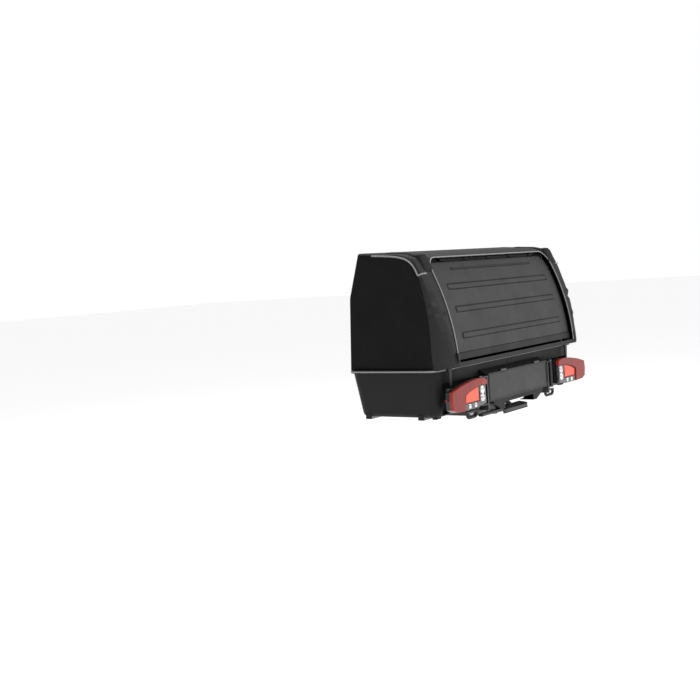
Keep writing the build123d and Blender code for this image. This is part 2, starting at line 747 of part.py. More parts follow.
jaw_top = 6.0               # jaw above its pin
with BuildPart() as clamp_jaw:
    with BuildSketch(Plane.YZ.offset(-jaw_width / 2)) as jaw_side:
        with BuildLine():
            back, face = socket_radius - 2, housing_radius + 4
            Polyline(
                (jaw_pin_forward - 5, jaw_pin_up + jaw_top),
                (back, jaw_pin_up - 8),
                (back - 12, socket_band - socket_skirt),
                (back - 12, -socket_skirt),
                (face - 3, -socket_skirt),
                (face, -socket_skirt + 6),
                (face, jaw_pin_up - 6),
                (jaw_pin_forward + 5, jaw_pin_up + jaw_top),
                close=True,
            )
        make_face()
    extrude(jaw_side.sketch, amount=jaw_width)
    band_top = socket_band - socket_skirt
    with BuildSketch(Plane.XY.offset(-far)) as hollow:
        Circle(socket_radius)
    extrude(hollow.sketch, amount=far + band_top, mode=Mode.SUBTRACT)
    with BuildSketch(Plane.XY.offset(band_top)) as relief:
        Circle(socket_radius + 1.5)
    extrude(relief.sketch, amount=jaw_pin_up - 8 - band_top, mode=Mode.SUBTRACT)
    rod_x(-far, far, jaw_pin_forward, jaw_pin_up, jaw_pin_radius + pin_fit, Mode.SUBTRACT)
save(clamp_jaw, "clamp_jaw")

pin_head = 3.0
with BuildPart() as coupling_pins:
    reach = sqrt(housing_radius**2 - jaw_pin_forward**2)
    rod_x(-reach, reach, jaw_pin_forward, jaw_pin_up, jaw_pin_radius)
    arm_out = lever_gauge / 2 + side_play
    rod_x(-arm_out, arm_out, lever_forward, lever_up, lever_pin_radius)
    for x in (-arm_out - pin_head, arm_out):
        rod_x(x, x + pin_head, lever_forward, lever_up, lever_pin_radius + 3)
save(coupling_pins, "coupling_pins")

lever_top = lever_up + lever_length
lock_z = lever_up + lock_rise
with BuildPart() as clamp_lever:
    for start in (-lever_gauge / 2, lever_gauge / 2 - lever_thick):
        with BuildSketch(Plane.YZ.offset(start)) as arm:
            with BuildLine():
                Polyline(
                    (lever_forward - 11, lever_up),
                    (lever_forward - 13, lock_z),
                    (lever_forward - 8, lever_top - grip_length),
                    (lever_forward - 8, lever_top - 6),
                    (lever_forward + 8, lever_top - 6),
                    (lever_forward + 8, lever_top - grip_length),
                    (lever_forward + 13, lock_z),
                    (lever_forward + 11, lever_up),
                    close=True,
                )
            make_face()
            with Locations((lever_forward, lever_up)):
                Circle(12)
                Circle(lever_pin_radius + pin_fit, mode=Mode.SUBTRACT)
        extrude(arm.sketch, amount=lever_thick)
    gauge = lever_gauge / 2 - lever_thick
    rod_x(-gauge, gauge, lever_forward, lock_z + grip_above_lock, lever_pin_radius)
    rod_x(0, far, lever_forward, lock_z, lock_radius + pin_fit, Mode.SUBTRACT)
save(clamp_lever, "clamp_lever")

with BuildPart() as lever_grip:
    with BuildSketch(Plane.XY.offset(lever_top - grip_length)) as section:
        with Locations((0, lever_forward)):
            RectangleRounded(lever_gauge + 8, 2 * grip_radius, grip_radius - 1)
    extrude(section.sketch, amount=grip_length)
    fillet(lever_grip.faces().sort_by(Axis.Z)[-1].edges(), 5)
    add(clamp_lever.part, mode=Mode.SUBTRACT)
save(lever_grip, "lever_grip")

with BuildPart() as lever_lock:
    x0 = lever_gauge / 2 - lever_thick - 4
    rod_x(x0, lever_gauge / 2 + 3, lever_forward, lock_z, lock_radius)
    box(
        (lever_gauge / 2 + 1, lever_forward - 0.9, lock_z - 5),
        (lever_gauge / 2 + 4, lever_forward + 0.9, lock_z + 5),
        Mode.SUBTRACT,
    )
save(lever_lock, "lever_lock")

# ---------------------------------------------------------------- pedal and latch
arm_in = pedal_arm_from_middle - pedal_arm_thick / 2
arm_out = pedal_arm_from_middle + pedal_arm_thick / 2
ear_in = arm_out + pedal_side_play
pedal_rear, pedal_front = -pedal_back, -pedal_front_back
lip_top = pedal_low + pedal_lip
hub_radius = pedal_pin_radius + 4
with BuildPart() as pedal:
    with BuildSketch(Plane.YZ.offset(-pedal_half)) as tread:
        with BuildLine():
            Polyline(
                (pedal_rear, pedal_low),
                (pedal_rear, lip_top),
                (pedal_rear + 8, lip_top + 2),
                (pedal_front, lip_top + pedal_rise),
                (pedal_front, lip_top + pedal_rise - pedal_thick),
                (pedal_rear + 8, lip_top + 2 - pedal_thick),
                (pedal_rear + 6, pedal_low),
                close=True,
            )
        make_face()
    extrude(tread.sketch, amount=2 * pedal_half)
    with BuildSketch(Plane.XY) as plan:
        with Locations((0, (pedal_rear + pedal_front + 40) / 2)):
            RectangleRounded(2 * pedal_half, pedal_front - pedal_rear + 40, pedal_round)
    extrude(plan.sketch, amount=far, both=True, mode=Mode.INTERSECT)
    for start in (-arm_out, arm_in):
        with BuildSketch(Plane.YZ.offset(start)) as arm:
            with BuildLine():
                Polyline(
                    (pedal_front - 26, lip_top + pedal_rise - 7),
                    (pedal_front, lip_top + pedal_rise - 1),
                    (pedal_pin_y + hub_radius, pedal_pin_up + 4),
                    (pedal_pin_y, pedal_pin_up - hub_radius),
                    close=True,
                )
            make_face()
            with Locations((pedal_pin_y, pedal_pin_up)):
                Circle(hub_radius)
        extrude(arm.sketch, amount=pedal_arm_thick)
    rod_x(-arm_in, arm_in, pedal_pin_y, pedal_pin_up, hub_radius - 1)
    # crank that pulls the release rod
    with BuildSketch(Plane.YZ.offset(hook_from_middle_side - hook_thick / 2)) as crank_arm:
        with Locations((pedal_pin_y, pedal_pin_up + crank / 2)):
            Rectangle(2 * hub_radius - 2, crank)
        with Locations((pedal_pin_y, pedal_pin_up + crank)):
            Circle(hub_radius - 1)
            SlotCenterToCenter(2.0, 2 * (link_pin_radius + link_play), rotation=90, mode=Mode.SUBTRACT)
    extrude(crank_arm.sketch, amount=hook_thick)
    rod_x(-far, far, pedal_pin_y, pedal_pin_up, pedal_pin_radius + pin_fit, Mode.SUBTRACT)
save(pedal, "pedal")

with BuildPart() as pedal_ears:
    for start in (-ear_in - ear_thick, ear_in):
        with BuildSketch(Plane.YZ.offset(start)) as ear:
            with BuildLine():
                Polyline(
                    (rear_beam_y - beam_width / 2, beam_bottom),
                    (pedal_pin_y - hub_radius, pedal_pin_up + 6),
                    (pedal_pin_y, pedal_pin_up - hub_radius),
                    (rear_beam_y + beam_width / 2, beam_bottom - 3),
                    (rear_beam_y + beam_width / 2, beam_bottom),
                    close=True,
                )
            make_face()
            with Locations((pedal_pin_y, pedal_pin_up)):
                Circle(hub_radius)
                Circle(pedal_pin_radius, mode=Mode.SUBTRACT)
        extrude(ear.sketch, amount=ear_thick)
save(pedal_ears, "pedal_ears")

with BuildPart() as linkage_pins:
    end = ear_in + ear_thick
    rod_x(-end, end, pedal_pin_y, pedal_pin_up, pedal_pin_radius)
    for x in (-end - pin_head, end):
        rod_x(x, x + pin_head, pedal_pin_y, pedal_pin_up, pedal_pin_radius + 3)
    # the latch hook's pin, cantilevered from the right frame rail
    start = hook_from_middle_side - hook_thick / 2 - 1
    rod_x(start, rail_from_middle - rail_width / 2, hook_y, hook_pin_z, hook_pin_radius)
    rod_x(start - 2, start, hook_y, hook_pin_z, hook_pin_radius + 2)
save(linkage_pins, "linkage_pins")

spring_wire = 2.0
spring_turns = 5
with BuildPart() as pedal_spring:
    with BuildLine() as coil:
        Helix(
            pitch=spring_wire * 1.3,
            height=spring_wire * 1.3 * spring_turns,
            radius=hub_radius - 1 + spring_wire / 2 + 0.4,
            center=(-arm_in + 4, pedal_pin_y, pedal_pin_up),
            direction=(1, 0, 0),
        )
    wire = coil.wires()[0]
    with BuildSketch(Plane(wire @ 0, z_dir=wire % 0)) as section:
        Circle(spring_wire / 2)
    sweep(section.sketch, path=wire, is_frenet=True)
save(pedal_spring, "pedal_spring")

with BuildPart() as release_rod:
    with BuildSketch(Plane.XZ.offset(-pedal_pin_y)) as rod_section:
        with Locations((rod_from_middle, rod_z)):
            Circle(rod_radius)
    extrude(rod_section.sketch, amount=-(hook_y - pedal_pin_y))
    for y in (pedal_pin_y, hook_y):
        rod_x(hook_from_middle_side - hook_thick / 2 - 1, rod_from_middle, y, rod_z, link_pin_radius)
        with Locations((rod_from_middle, y, rod_z)):
            Sphere(rod_radius + 0.6)
save(release_rod, "release_rod")

hook_tip = -striker_drop - striker_radius - striker_play     # from the hook's pin
hook_throat = -striker_radius - striker_play


def unlatched(y, z):
    """A point of the latched hook, from its pin, turned back to where it clears the striker."""
    turn = radians(latched_turn)
    return hook_y + y * cos(turn) + z * sin(turn), hook_pin_z - y * sin(turn) + z * cos(turn)


with BuildPart() as latch_hook:
    with BuildSketch(Plane.YZ.offset(hook_from_middle_side - hook_thick / 2)) as hook_side:
        with BuildLine():
            outline = [
                (hook_throat, hook_tip),
                (hook_reach, hook_tip),
                (hook_reach, hook_tip - 4),
                (hook_reach - 5, hook_tip - 8),
                (hook_throat - 8, hook_tip - 8),
                (hook_throat - 10, -crank - 12),
                (-10, 4),
                (8, 4),
                (8, -crank - 4),
                (hook_throat, -crank - 8),
            ]
            Polyline(*[unlatched(y, z) for y, z in outline], close=True)
        make_face()
        with Locations((hook_y, rod_z)):
            Circle(link_pin_radius + 4)
        with Locations((hook_y, hook_pin_z)):
            Circle(hook_pin_radius + 4)
            Circle(hook_pin_radius + pin_fit, mode=Mode.SUBTRACT)
        with Locations((hook_y, rod_z)):
            SlotCenterToCenter(2.0, 2 * (link_pin_radius + link_play), rotation=90, mode=Mode.SUBTRACT)
    extrude(hook_side.sketch, amount=hook_thick)
save(latch_hook, "latch_hook")

# ---------------------------------------------------------------- rear console, number plate and belly cover
wall_y = rear + rim_lip                     # tray wall under the rim
console_top = rim - console_top_drop
plate_top = rim - plate_drop
plate_low = plate_top - plate_size[1]
belly_low = rim - belly_foot_drop
belly_top = plate_low - 3.0
wall_gap = 1.0                              # console and belly cover clear of the tray's leaning wall


def console_outline(inset):
    """The console seen from the side."""
    with BuildSketch(Plane.YZ) as side:
        with BuildLine():
            Polyline(
                (wall_y - wall_gap, console_top - inset),
                (console_face + inset, console_top - console_slope - inset / 2),
                (console_face + inset, belly_top + inset),
                (wall_y - wall_gap, belly_top + inset),
                close=True,
            )
        make_face()
    return side.sketch


with BuildPart() as rear_console:
    extrude(console_outline(0), amount=console_half, both=True)
    box(
        (console_wall - console_half, console_face + console_wall, belly_top + console_wall),
        (console_half - console_wall, rear + far, console_top - console_slope - console_wall),
        Mode.SUBTRACT,
    )
save(rear_console, "rear_console")

holder_y = console_face - holder_thick
with BuildPart() as plate_holder:
    middle_z = (plate_top + plate_low) / 2
    with BuildSketch(Plane.XZ.offset(-console_face)) as frame:
        with Locations((0, middle_z)):
            RectangleRounded(plate_size[0] + 2 * holder_lip, plate_size[1] + 2 * holder_lip, 6)
    extrude(frame.sketch, amount=holder_thick)
    with BuildSketch(Plane.XZ.offset(-(console_face - 2))) as seat:
        with Locations((0, middle_z)):
            Rectangle(plate_size[0] + 0.4, plate_size[1] + 0.4)
    extrude(seat.sketch, amount=holder_thick, mode=Mode.SUBTRACT)
save(plate_holder, "plate_holder")

with BuildPart() as number_plate:
    with BuildSketch(Plane.XZ.offset(-(console_face - 2))) as blank:
        with Locations((0, middle_z)):
            RectangleRounded(plate_size[0], plate_size[1], 5)
    extrude(blank.sketch, amount=plate_thick)
save(number_plate, "number_plate")

lamp_at = 150.0
with BuildPart() as plate_lamps:
    for s in (1, -1):
        with Locations((s * lamp_at, holder_y - 3.4, plate_top + holder_lip + 5)):
            Box(46, 13, 9)
    fillet(plate_lamps.edges().filter_by(Axis.X), 3)
save(plate_lamps, "plate_lamps")


def belly_outline(inset):
    """The belly cover seen from behind."""
    with BuildSketch(Plane.XZ.offset(-console_face)) as back:
        with BuildLine():
            Polyline(
                (belly_top_half - inset, belly_top + 1 - inset),
                (belly_top_half - inset, belly_low + belly_chamfer + inset / 2),
                (belly_bottom_half - inset / 2, belly_low + inset),
                (-belly_bottom_half + inset / 2, belly_low + inset),
                (-belly_top_half + inset, belly_low + belly_chamfer + inset / 2),
                (-belly_top_half + inset, belly_top + 1 - inset),
                close=True,
            )
        make_face()
    return back.sketch


with BuildPart() as belly_cover:
    extrude(belly_outline(0), amount=console_face + belly_front)
    extrude(belly_outline(console_wall), amount=console_face + belly_front, mode=Mode.SUBTRACT)
    extrude(belly_outline(0), amount=-console_wall)
    box((-half, -far, belly_top), (half, far, far), Mode.SUBTRACT)
    box((-half, wall_y - wall_gap, floor - 1), (half, far, far), Mode.SUBTRACT)
    box((-notch_half, -far, -far), (notch_half, far, belly_low + notch_height), Mode.SUBTRACT)
save(belly_cover, "belly_cover")

with BuildPart() as cable_duct:
    box(
        (loop_half - loop_from_middle, rear + duct_y[0], belly_low - duct_height),
        (-notch_half - 2, rear + duct_y[1], belly_low),
    )
    fillet(cable_duct.edges().filter_by(Axis.X).group_by(Axis.Z)[0], 4)
save(cable_duct, "cable_duct")

# ---------------------------------------------------------------- lamps
lamp_top = rim - lamp_top_drop
lamp_low = rim - lamp_bottom_drop
lamp_height = lamp_top - lamp_low
lamp_back = lamp_face + lens_thick            # where the lenses meet the housing
pin_low, pin_high = lamp_low - 4, lamp_top - 4
lug_back = lamp_pin_y - knuckle_radius
bracket_top = floor - 1.5


def lamp_outline(side, points, y):
    """A face of the lamp, from shares of its width (inner to outer) and height (bottom to top)."""
    width = lamp_outer - lamp_inner
    with BuildSketch(Plane.XZ.offset(-y)) as face:
        with BuildLine():
            Polyline(
                *[(side * (lamp_inner + u * width), lamp_low + v * lamp_height) for u, v in points],
                close=True,
            )
        make_face()
    return face.sketch


whole = [(0, 0.08), (0, 0.9), (0.06, 0.97), (0.22, 1), (0.45, 0.96), (0.73, 0.86), (0.98, 0.72),
         (1, 0.45), (0.98, 0.14), (0.88, 0.04), (0.62, 0), (0.34, 0)]
brow = [(0, 0.74), (0, 0.9), (0.06, 0.97), (0.22, 1), (0.45, 0.96), (0.73, 0.86), (0.98, 0.72),
        (1, 0.45), (0.98, 0.14), (0.88, 0.04), (0.63, 0.02), (0.64, 0.52), (0.46, 0.66), (0.2, 0.76)]
reflector = [(0.22, 0.24), (0.22, 0.74), (0.46, 0.64), (0.62, 0.51), (0.61, 0.24)]
clear = [(0.02, 0.1), (0.02, 0.73), (0.2, 0.74), (0.2, 0.22), (0.61, 0.22), (0.61, 0.02), (0.36, 0.02)]

for s, side_name in ((1, "right"), (-1, "left")):
    with BuildPart() as lamp_housing:
        extrude(lamp_outline(s, whole, lamp_back), amount=-lens_thick - 6)
        # body tapering into the recess
        body_y = lamp_back + lens_thick + 6
        body = [(0.06, 0.12), (0.06, 0.84), (0.78, 0.8), (0.78, 0.12)]
        extrude(lamp_outline(s, body, body_y), amount=-lamp_body_depth)
        fillet(lamp_housing.faces().sort_by(Axis.Y)[-1].edges(), 12)
        # knuckle round the hinge pin
        x0, x1 = sorted((s * lamp_pin_x, s * (lamp_inner + 24)))
        box((x0, lamp_pin_y - 5, pin_low + lug_thick + 0.5), (x1, lamp_pin_y + 5, pin_high - lug_thick - 0.5))
        with BuildSketch(Plane.XY.offset(pin_low + lug_thick + 0.5)) as hub:
            with Locations((s * lamp_pin_x, lamp_pin_y)):
                Circle(knuckle_radius)
        extrude(hub.sketch, amount=pin_high - pin_low - 2 * lug_thick - 1)
        with BuildSketch(Plane.XY.offset(floor)) as bore:
            with Locations((s * lamp_pin_x, lamp_pin_y)):
                Circle(lamp_pin_radius + pin_fit)
        extrude(bore.sketch, amount=tray_height, mode=Mode.SUBTRACT)
    save(lamp_housing, f"lamp_housing_{side_name}")

    with BuildPart() as lens_red:
        extrude(lamp_outline(s, brow, lamp_back), amount=lens_thick + 2)
        fillet(lens_red.faces().sort_by(Axis.Y)[0].edges(), 2)
        extrude(lamp_outline(s, reflector, lamp_back), amount=lens_thick - 4)
    save(lens_red, f"lamp_lens_red_{side_name}")

    with BuildPart() as lens_clear:
        extrude(lamp_outline(s, clear, lamp_back), amount=lens_thick - 3)
    save(lens_clear, f"lamp_lens_clear_{side_name}")

# Brackets: a post beside the console with two lugs, a rail along the tray's foot, and an arm to the rear beam.
with BuildPart() as lamp_brackets:
    for s in (1, -1):
        x0, x1 = sorted((s * post_inner, s * (post_inner + post_thick)))
        box((x0, lug_back, beam_bottom), (x1, wall_y - wall_gap, pin_high))
        for z in (pin_low, pin_high - lug_thick):
            x0, x1 = sorted((s * post_inner, s * lamp_pin_x))
            box((x0, lug_back, z), (x1, lamp_pin_y + knuckle_radius, z + lug_thick))
            with BuildSketch(Plane.XY.offset(z)) as lug:
                with Locations((s * lamp_pin_x, lamp_pin_y)):
                    Circle(knuckle_radius)
            extrude(lug.sketch, amount=lug_thick)
        x0, x1 = sorted((s * post_inner, s * (loop_from_middle + loop_half)))
        box((x0, wall_y - bracket_thick, beam_bottom), (x1, wall_y - wall_gap, bracket_top))
        x0, x1 = sorted((s * (loop_from_middle - arm_half), s * (loop_from_middle + arm_half)))
        box((x0, wall_y - bracket_thick, beam_bottom), (x1, rear_beam_y - beam_width / 2, bracket_top))
        with BuildSketch(Plane.XY.offset(floor)) as bore:
            with Locations((s * lamp_pin_x, lamp_pin_y)):
                Circle(lamp_pin_radius)
        extrude(bore.sketch, amount=tray_height, mode=Mode.SUBTRACT)
save(lamp_brackets, "lamp_brackets")

with BuildPart() as grip_loops:
    loop_y = wall_y - bracket_thick / 2
    loop_z = rim - loop_drop
    for s in (1, -1):
        inner, outer = (s * (loop_from_middle + t * (loop_half - loop_radius)) for t in (-1, 1))
        corners = [(inner, beam_bottom), (inner, loop_z), (outer, loop_z), (outer, beam_bottom)]
        tube_path([(x, loop_y, z) for x, z in corners], loop_bend, loop_radius)
save(grip_loops, "grip_loops")

with BuildPart() as lamp_pins:
    for s in (1, -1):
        with BuildSketch(Plane.XY.offset(pin_low)) as pin:
            with Locations((s * lamp_pin_x, lamp_pin_y)):
                Circle(lamp_pin_radius)
        extrude(pin.sketch, amount=pin_high - pin_low)
        with BuildSketch(Plane.XY.offset(pin_high)) as head:
            with Locations((s * lamp_pin_x, lamp_pin_y)):
                Circle(lamp_pin_radius + 3)
        extrude(head.sketch, amount=2.5)
save(lamp_pins, "lamp_pins")
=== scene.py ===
"""Looks of a soft-sided cargo box on a tilting tow-ball platform.

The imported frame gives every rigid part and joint. This script adds the fabric hood, the pressed door
skin, the piping, the straps and pads, the zips and the lamps' optics, and gives every part its finish.
Metres, in the frame's own axes: +X right as seen from behind, +Y towards the car, +Z up.
"""

from __future__ import annotations

import json
import logging
import math
from dataclasses import dataclass, field
from enum import Enum
from typing import Callable, Iterable, Sequence

import bpy
import numpy as np
from mathutils import Matrix, Vector


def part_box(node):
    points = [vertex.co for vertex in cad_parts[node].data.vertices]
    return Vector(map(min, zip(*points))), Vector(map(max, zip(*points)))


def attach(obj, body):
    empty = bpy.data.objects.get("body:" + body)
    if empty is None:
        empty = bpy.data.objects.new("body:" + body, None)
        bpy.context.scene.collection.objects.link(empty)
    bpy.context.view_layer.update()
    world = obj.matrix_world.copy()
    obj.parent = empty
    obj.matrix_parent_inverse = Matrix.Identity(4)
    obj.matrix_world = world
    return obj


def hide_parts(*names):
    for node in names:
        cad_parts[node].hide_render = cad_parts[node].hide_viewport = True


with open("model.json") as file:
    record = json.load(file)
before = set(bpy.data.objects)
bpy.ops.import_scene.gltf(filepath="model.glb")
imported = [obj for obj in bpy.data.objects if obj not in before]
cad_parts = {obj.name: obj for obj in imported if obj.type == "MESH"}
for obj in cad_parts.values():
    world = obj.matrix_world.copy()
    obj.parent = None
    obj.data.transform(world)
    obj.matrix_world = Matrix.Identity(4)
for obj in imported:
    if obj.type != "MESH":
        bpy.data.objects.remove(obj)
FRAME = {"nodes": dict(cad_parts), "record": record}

LOG = logging.getLogger("cargo_carrier")
Array = np.ndarray
QUARTERS = ((1, 1), (-1, 1), (-1, -1), (1, -1))  # the corners of a rectangle, anticlockwise


class Side(Enum):
    """The two sides of the carrier, as seen from behind."""

    LEFT = -1
    RIGHT = 1

    @property
    def word(self) -> str:
        """The side's name, as the parts' names have it."""
        return self.name.lower()


# ------------------------------------------------------------------------------------------- meshes
def smooth_noise(u: Array, v: Array, cell: float, seed: int) -> Array:
    """Smooth random heights between -1 and 1.

    Random values on a square lattice, blended with the cubic 3t^2 - 2t^3 between neighbours.

    Args:
        u: first coordinate of each point, in metres.
        v: second coordinate of each point, in metres.
        cell: distance between lattice points, in metres.
        seed: seed of the lattice's random values.

    Returns:
        One height for each point.
    """
    lattice = np.random.RandomState(seed).uniform(-1.0, 1.0, (64, 64))
    a, b = u / cell + 16.0, v / cell + 16.0
    i, j = np.floor(a).astype(int), np.floor(b).astype(int)
    s, t = a - i, b - j
    s, t = s * s * (3 - 2 * s), t * t * (3 - 2 * t)
    i0, i1, j0, j1 = i % 64, (i + 1) % 64, j % 64, (j + 1) % 64
    low = lattice[i0, j0] * (1 - s) + lattice[i1, j0] * s
    high = lattice[i0, j1] * (1 - s) + lattice[i1, j1] * s
    return low * (1 - t) + high * t


def bump(x: Array, middle: float, half_width: float) -> Array:
    """A bell that is 1 at the middle and falls to 0 at half_width either side, as a squared cosine."""
    return np.cos(np.clip((x - middle) / half_width, -1, 1) * math.pi / 2) ** 2


def ramp(x: Array, start: float, end: float) -> Array:
    """0 before start, 1 after end, and the cubic 3t^2 - 2t^3 between them."""
    t = np.clip((x - start) / (end - start), 0, 1)
    return t * t * (3 - 2 * t)


def grid_normals(grid: Array) -> Array:
    """Unit normals of a grid of points: the cross product of its column and row directions."""
    across = np.gradient(grid, axis=1)
    along = np.gradient(grid, axis=0)
    normal = np.cross(across, along)
    return normal / np.maximum(np.linalg.norm(normal, axis=2, keepdims=True), 1e-12)


def arc_lengths(points: Array) -> Array:
    """Distance along a polyline at each of its points."""
    steps = np.linalg.norm(np.diff(points, axis=0), axis=1)
    return np.concatenate([[0.0], np.cumsum(steps)])


def resample(points: Array, count: int) -> Array:
    """A polyline's points, spread evenly along its length."""
    length = arc_lengths(points)
    at = np.linspace(0, length[-1], count)
    return np.stack([np.interp(at, length, points[:, k]) for k in range(points.shape[1])], axis=1)


def softened(points: Array, reach: int) -> Array:
    """A line with each point replaced by a bell-weighted mean of its neighbours.

    Args:
        points: the line, points by coordinates.
        reach: how many points on each side count.

    Returns:
        As many points; the line's ends stay where they are.
    """
    window = np.hanning(2 * reach + 1)
    window /= window.sum()
    wide = np.pad(points, ((reach, reach), (0, 0)), mode="reflect", reflect_type="odd")
    columns = [np.convolve(column, window, mode="valid") for column in wide.T]
    return np.stack(columns, axis=1)


def mesh_piece(
    name: str, points: Array, faces: list, uv: Array | None = None, smooth: bool = True
) -> bpy.types.Object:
    """A new mesh object from whole arrays.

    Args:
        name: the piece's name.
        points: N by 3 vertices.
        faces: lists of vertex numbers, anticlockwise as seen from outside.
        uv: N by 2 texture coordinates, in metres over the surface.
        smooth: whether its faces are shaded smooth.

    Returns:
        The object, linked to the scene.
    """
    mesh = bpy.data.meshes.new(name)
    mesh.from_pydata(points.reshape(-1, 3), [], faces)
    if uv is not None:
        layer = mesh.uv_layers.new(name="surface")
        corner = np.empty(len(mesh.loops), dtype=np.int32)
        mesh.loops.foreach_get("vertex_index", corner)
        layer.data.foreach_set("uv", uv.reshape(-1, 2)[corner].ravel().astype(np.float32))
    mesh.polygons.foreach_set("use_smooth", np.full(len(mesh.polygons), smooth))
    mesh.update()
    piece = bpy.data.objects.new(name, mesh)
    bpy.context.scene.collection.objects.link(piece)
    return piece


def quads(rows: int, columns: int, start: int = 0, wrap: bool = False) -> Array:
    """Faces of a grid of rows by columns vertices; wrap joins the last column to the first."""
    index = np.arange(rows * columns).reshape(rows, columns) + start
    if wrap:
        index = np.concatenate([index, index[:, :1]], axis=1)
    a, b, c, d = index[:-1, :-1], index[:-1, 1:], index[1:, 1:], index[1:, :-1]
    return np.stack([a, b, c, d], axis=-1).reshape(-1, 4)


def closed_faces(rows: int, columns: int) -> list:
    """Faces of two grids, an outer and an inner one, joined by a strip round their edges.

    Args:
        rows: points along each grid.
        columns: points across it.

    Returns:
        The faces, for the outer grid's points followed by the inner one's.
    """
    index = np.arange(rows * columns).reshape(rows, columns)
    loop = np.concatenate([index[0, :-1], index[:-1, -1], index[-1, :0:-1], index[:0:-1, 0]])
    after = np.roll(loop, -1)
    rim = np.stack([loop, loop + rows * columns, after + rows * columns, after], axis=1)
    return np.concatenate(
        [quads(rows, columns), quads(rows, columns, rows * columns)[:, ::-1], rim]
    ).tolist()


def shell_piece(name: str, grid: Array, thickness: float) -> bpy.types.Object:
    """A closed skin: the grid, a copy moved inwards along the normals, and a strip round the edge.

    Args:
        name: the piece's name.
        grid: rows by columns by 3 points of the outer face; columns crossed with rows point outwards.
        thickness: the skin's thickness.

    Returns:
        The object, with a UV map in metres.
    """
    rows, columns = grid.shape[:2]
    inner = grid - grid_normals(grid) * thickness
    across = np.linalg.norm(np.diff(grid, axis=1), axis=2)
    along = np.linalg.norm(np.diff(grid, axis=0), axis=2)
    u = np.concatenate([np.zeros((rows, 1)), np.cumsum(across, axis=1)], axis=1)
    v = np.concatenate([np.zeros((1, columns)), np.cumsum(along, axis=0)], axis=0)
    uv = np.stack([u - u[:, columns // 2 : columns // 2 + 1], v], axis=2)
    points = np.concatenate([grid, inner])
    return mesh_piece(name, points, closed_faces(rows, columns), np.concatenate([uv, uv]))


def swept_piece(
    name: str, paths: Sequence[Array], profile: Array, out: Callable[[Array], Array]
) -> bpy.types.Object:
    """A closed profile carried along one or more paths, with flat ends.

    A point of the profile stands at path + outward * x + beside * y, where beside is the cross product
    of the path's direction and its outward direction.

    Args:
        name: the piece's name.
        paths: lists of points, each N by 3.
        profile: M by 2 outline, anticlockwise.
        out: gives the outward direction at each point of a path.

    Returns:
        The object, with a UV map in metres: along the path, and round the profile.
    """
    count, points, faces, uv = len(profile), [], [], []
    around = arc_lengths(np.vstack([profile, profile[:1]]))[:-1]
    for path in paths:
        ahead = np.gradient(path, axis=0)
        ahead /= np.linalg.norm(ahead, axis=1, keepdims=True)
        outward = out(path)
        outward = outward - ahead * (outward * ahead).sum(axis=1, keepdims=True)
        outward /= np.linalg.norm(outward, axis=1, keepdims=True)
        beside = np.cross(ahead, outward)
        start = sum(len(p) for p in points)
        rings = path[:, None] + outward[:, None] * profile[None, :, :1]
        rings = rings + beside[:, None] * profile[None, :, 1:]
        faces += quads(len(path), count, start, wrap=True).tolist()
        last = start + (len(path) - 1) * count
        faces += [list(range(start + count - 1, start - 1, -1)), list(range(last, last + count))]
        points.append(rings.reshape(-1, 3))
        both = np.broadcast_arrays(arc_lengths(path)[:, None], around[None, :])
        uv.append(np.stack(both, axis=2).reshape(-1, 2))
    return mesh_piece(name, np.concatenate(points), faces, np.concatenate(uv))


def rounded_outline(
    half: float, tall: float, corner: float, steps: int, start: tuple[float, float], count: int
) -> Array:
    """A rounded rectangle about the origin, as a closed line from a point on it.

    Args:
        half: half its width.
        tall: half its height.
        corner: radius of its corners.
        steps: points on each corner.
        start: where it starts and ends, at the top's middle or the right side's.
        count: number of points.

    Returns:
        The points, evenly spread.
    """
    turn = np.linspace(0, math.pi / 2, steps)
    first = 0 if start[0] > 0 else 1
    points = [start]
    for k in range(first, first + 4):
        a, b = QUARTERS[k % 4]
        angle = turn + k * math.pi / 2
        points += np.stack(
            [a * (half - corner) + corner * np.cos(angle), b * (tall - corner) + corner * np.sin(angle)],
            axis=1,
        ).tolist()
    return resample(np.array([*points, start]), count)


def round_profile(radius: float, sides: int = 12, flat: float = 1.0) -> Array:
    """A circle or, with flat below 1, an ellipse squashed along its first axis."""
    turn = np.arange(sides) * 2 * math.pi / sides
    return np.stack([flat * radius * np.cos(turn), radius * np.sin(turn)], axis=1)


def rounded_box_profile(deep: float, wide: float, corner: float, steps: int = 4) -> Array:
    """A rectangle with rounded corners, anticlockwise, centred on the path."""
    turn = np.linspace(0, math.pi / 2, steps)
    arcs = []
    for k, (a, b) in enumerate(QUARTERS):
        angle = turn + k * math.pi / 2
        middle = np.array([a * (deep / 2 - corner), b * (wide / 2 - corner)])
        arcs.append(middle + corner * np.stack([np.cos(angle), np.sin(angle)], axis=1))
    return np.concatenate(arcs)


def repeated_piece(
    name: str, pattern: Array, pattern_faces: list, places: Array, frames: Array
) -> bpy.types.Object:
    """One small solid repeated at many places, such as stitches or zip teeth.

    Args:
        name: the piece's name.
        pattern: V by 3 vertices of the small solid, about its own centre.
        pattern_faces: its faces.
        places: N by 3 centres.
        frames: N by 3 by 3 directions of the solid's own axes, as rows.

    Returns:
        The object.
    """
    points = places[:, None] + np.einsum("vk,nkc->nvc", pattern, frames)
    faces = [[i + n * len(pattern) for i in face] for n in range(len(places)) for face in pattern_faces]
    return mesh_piece(name, points, faces)


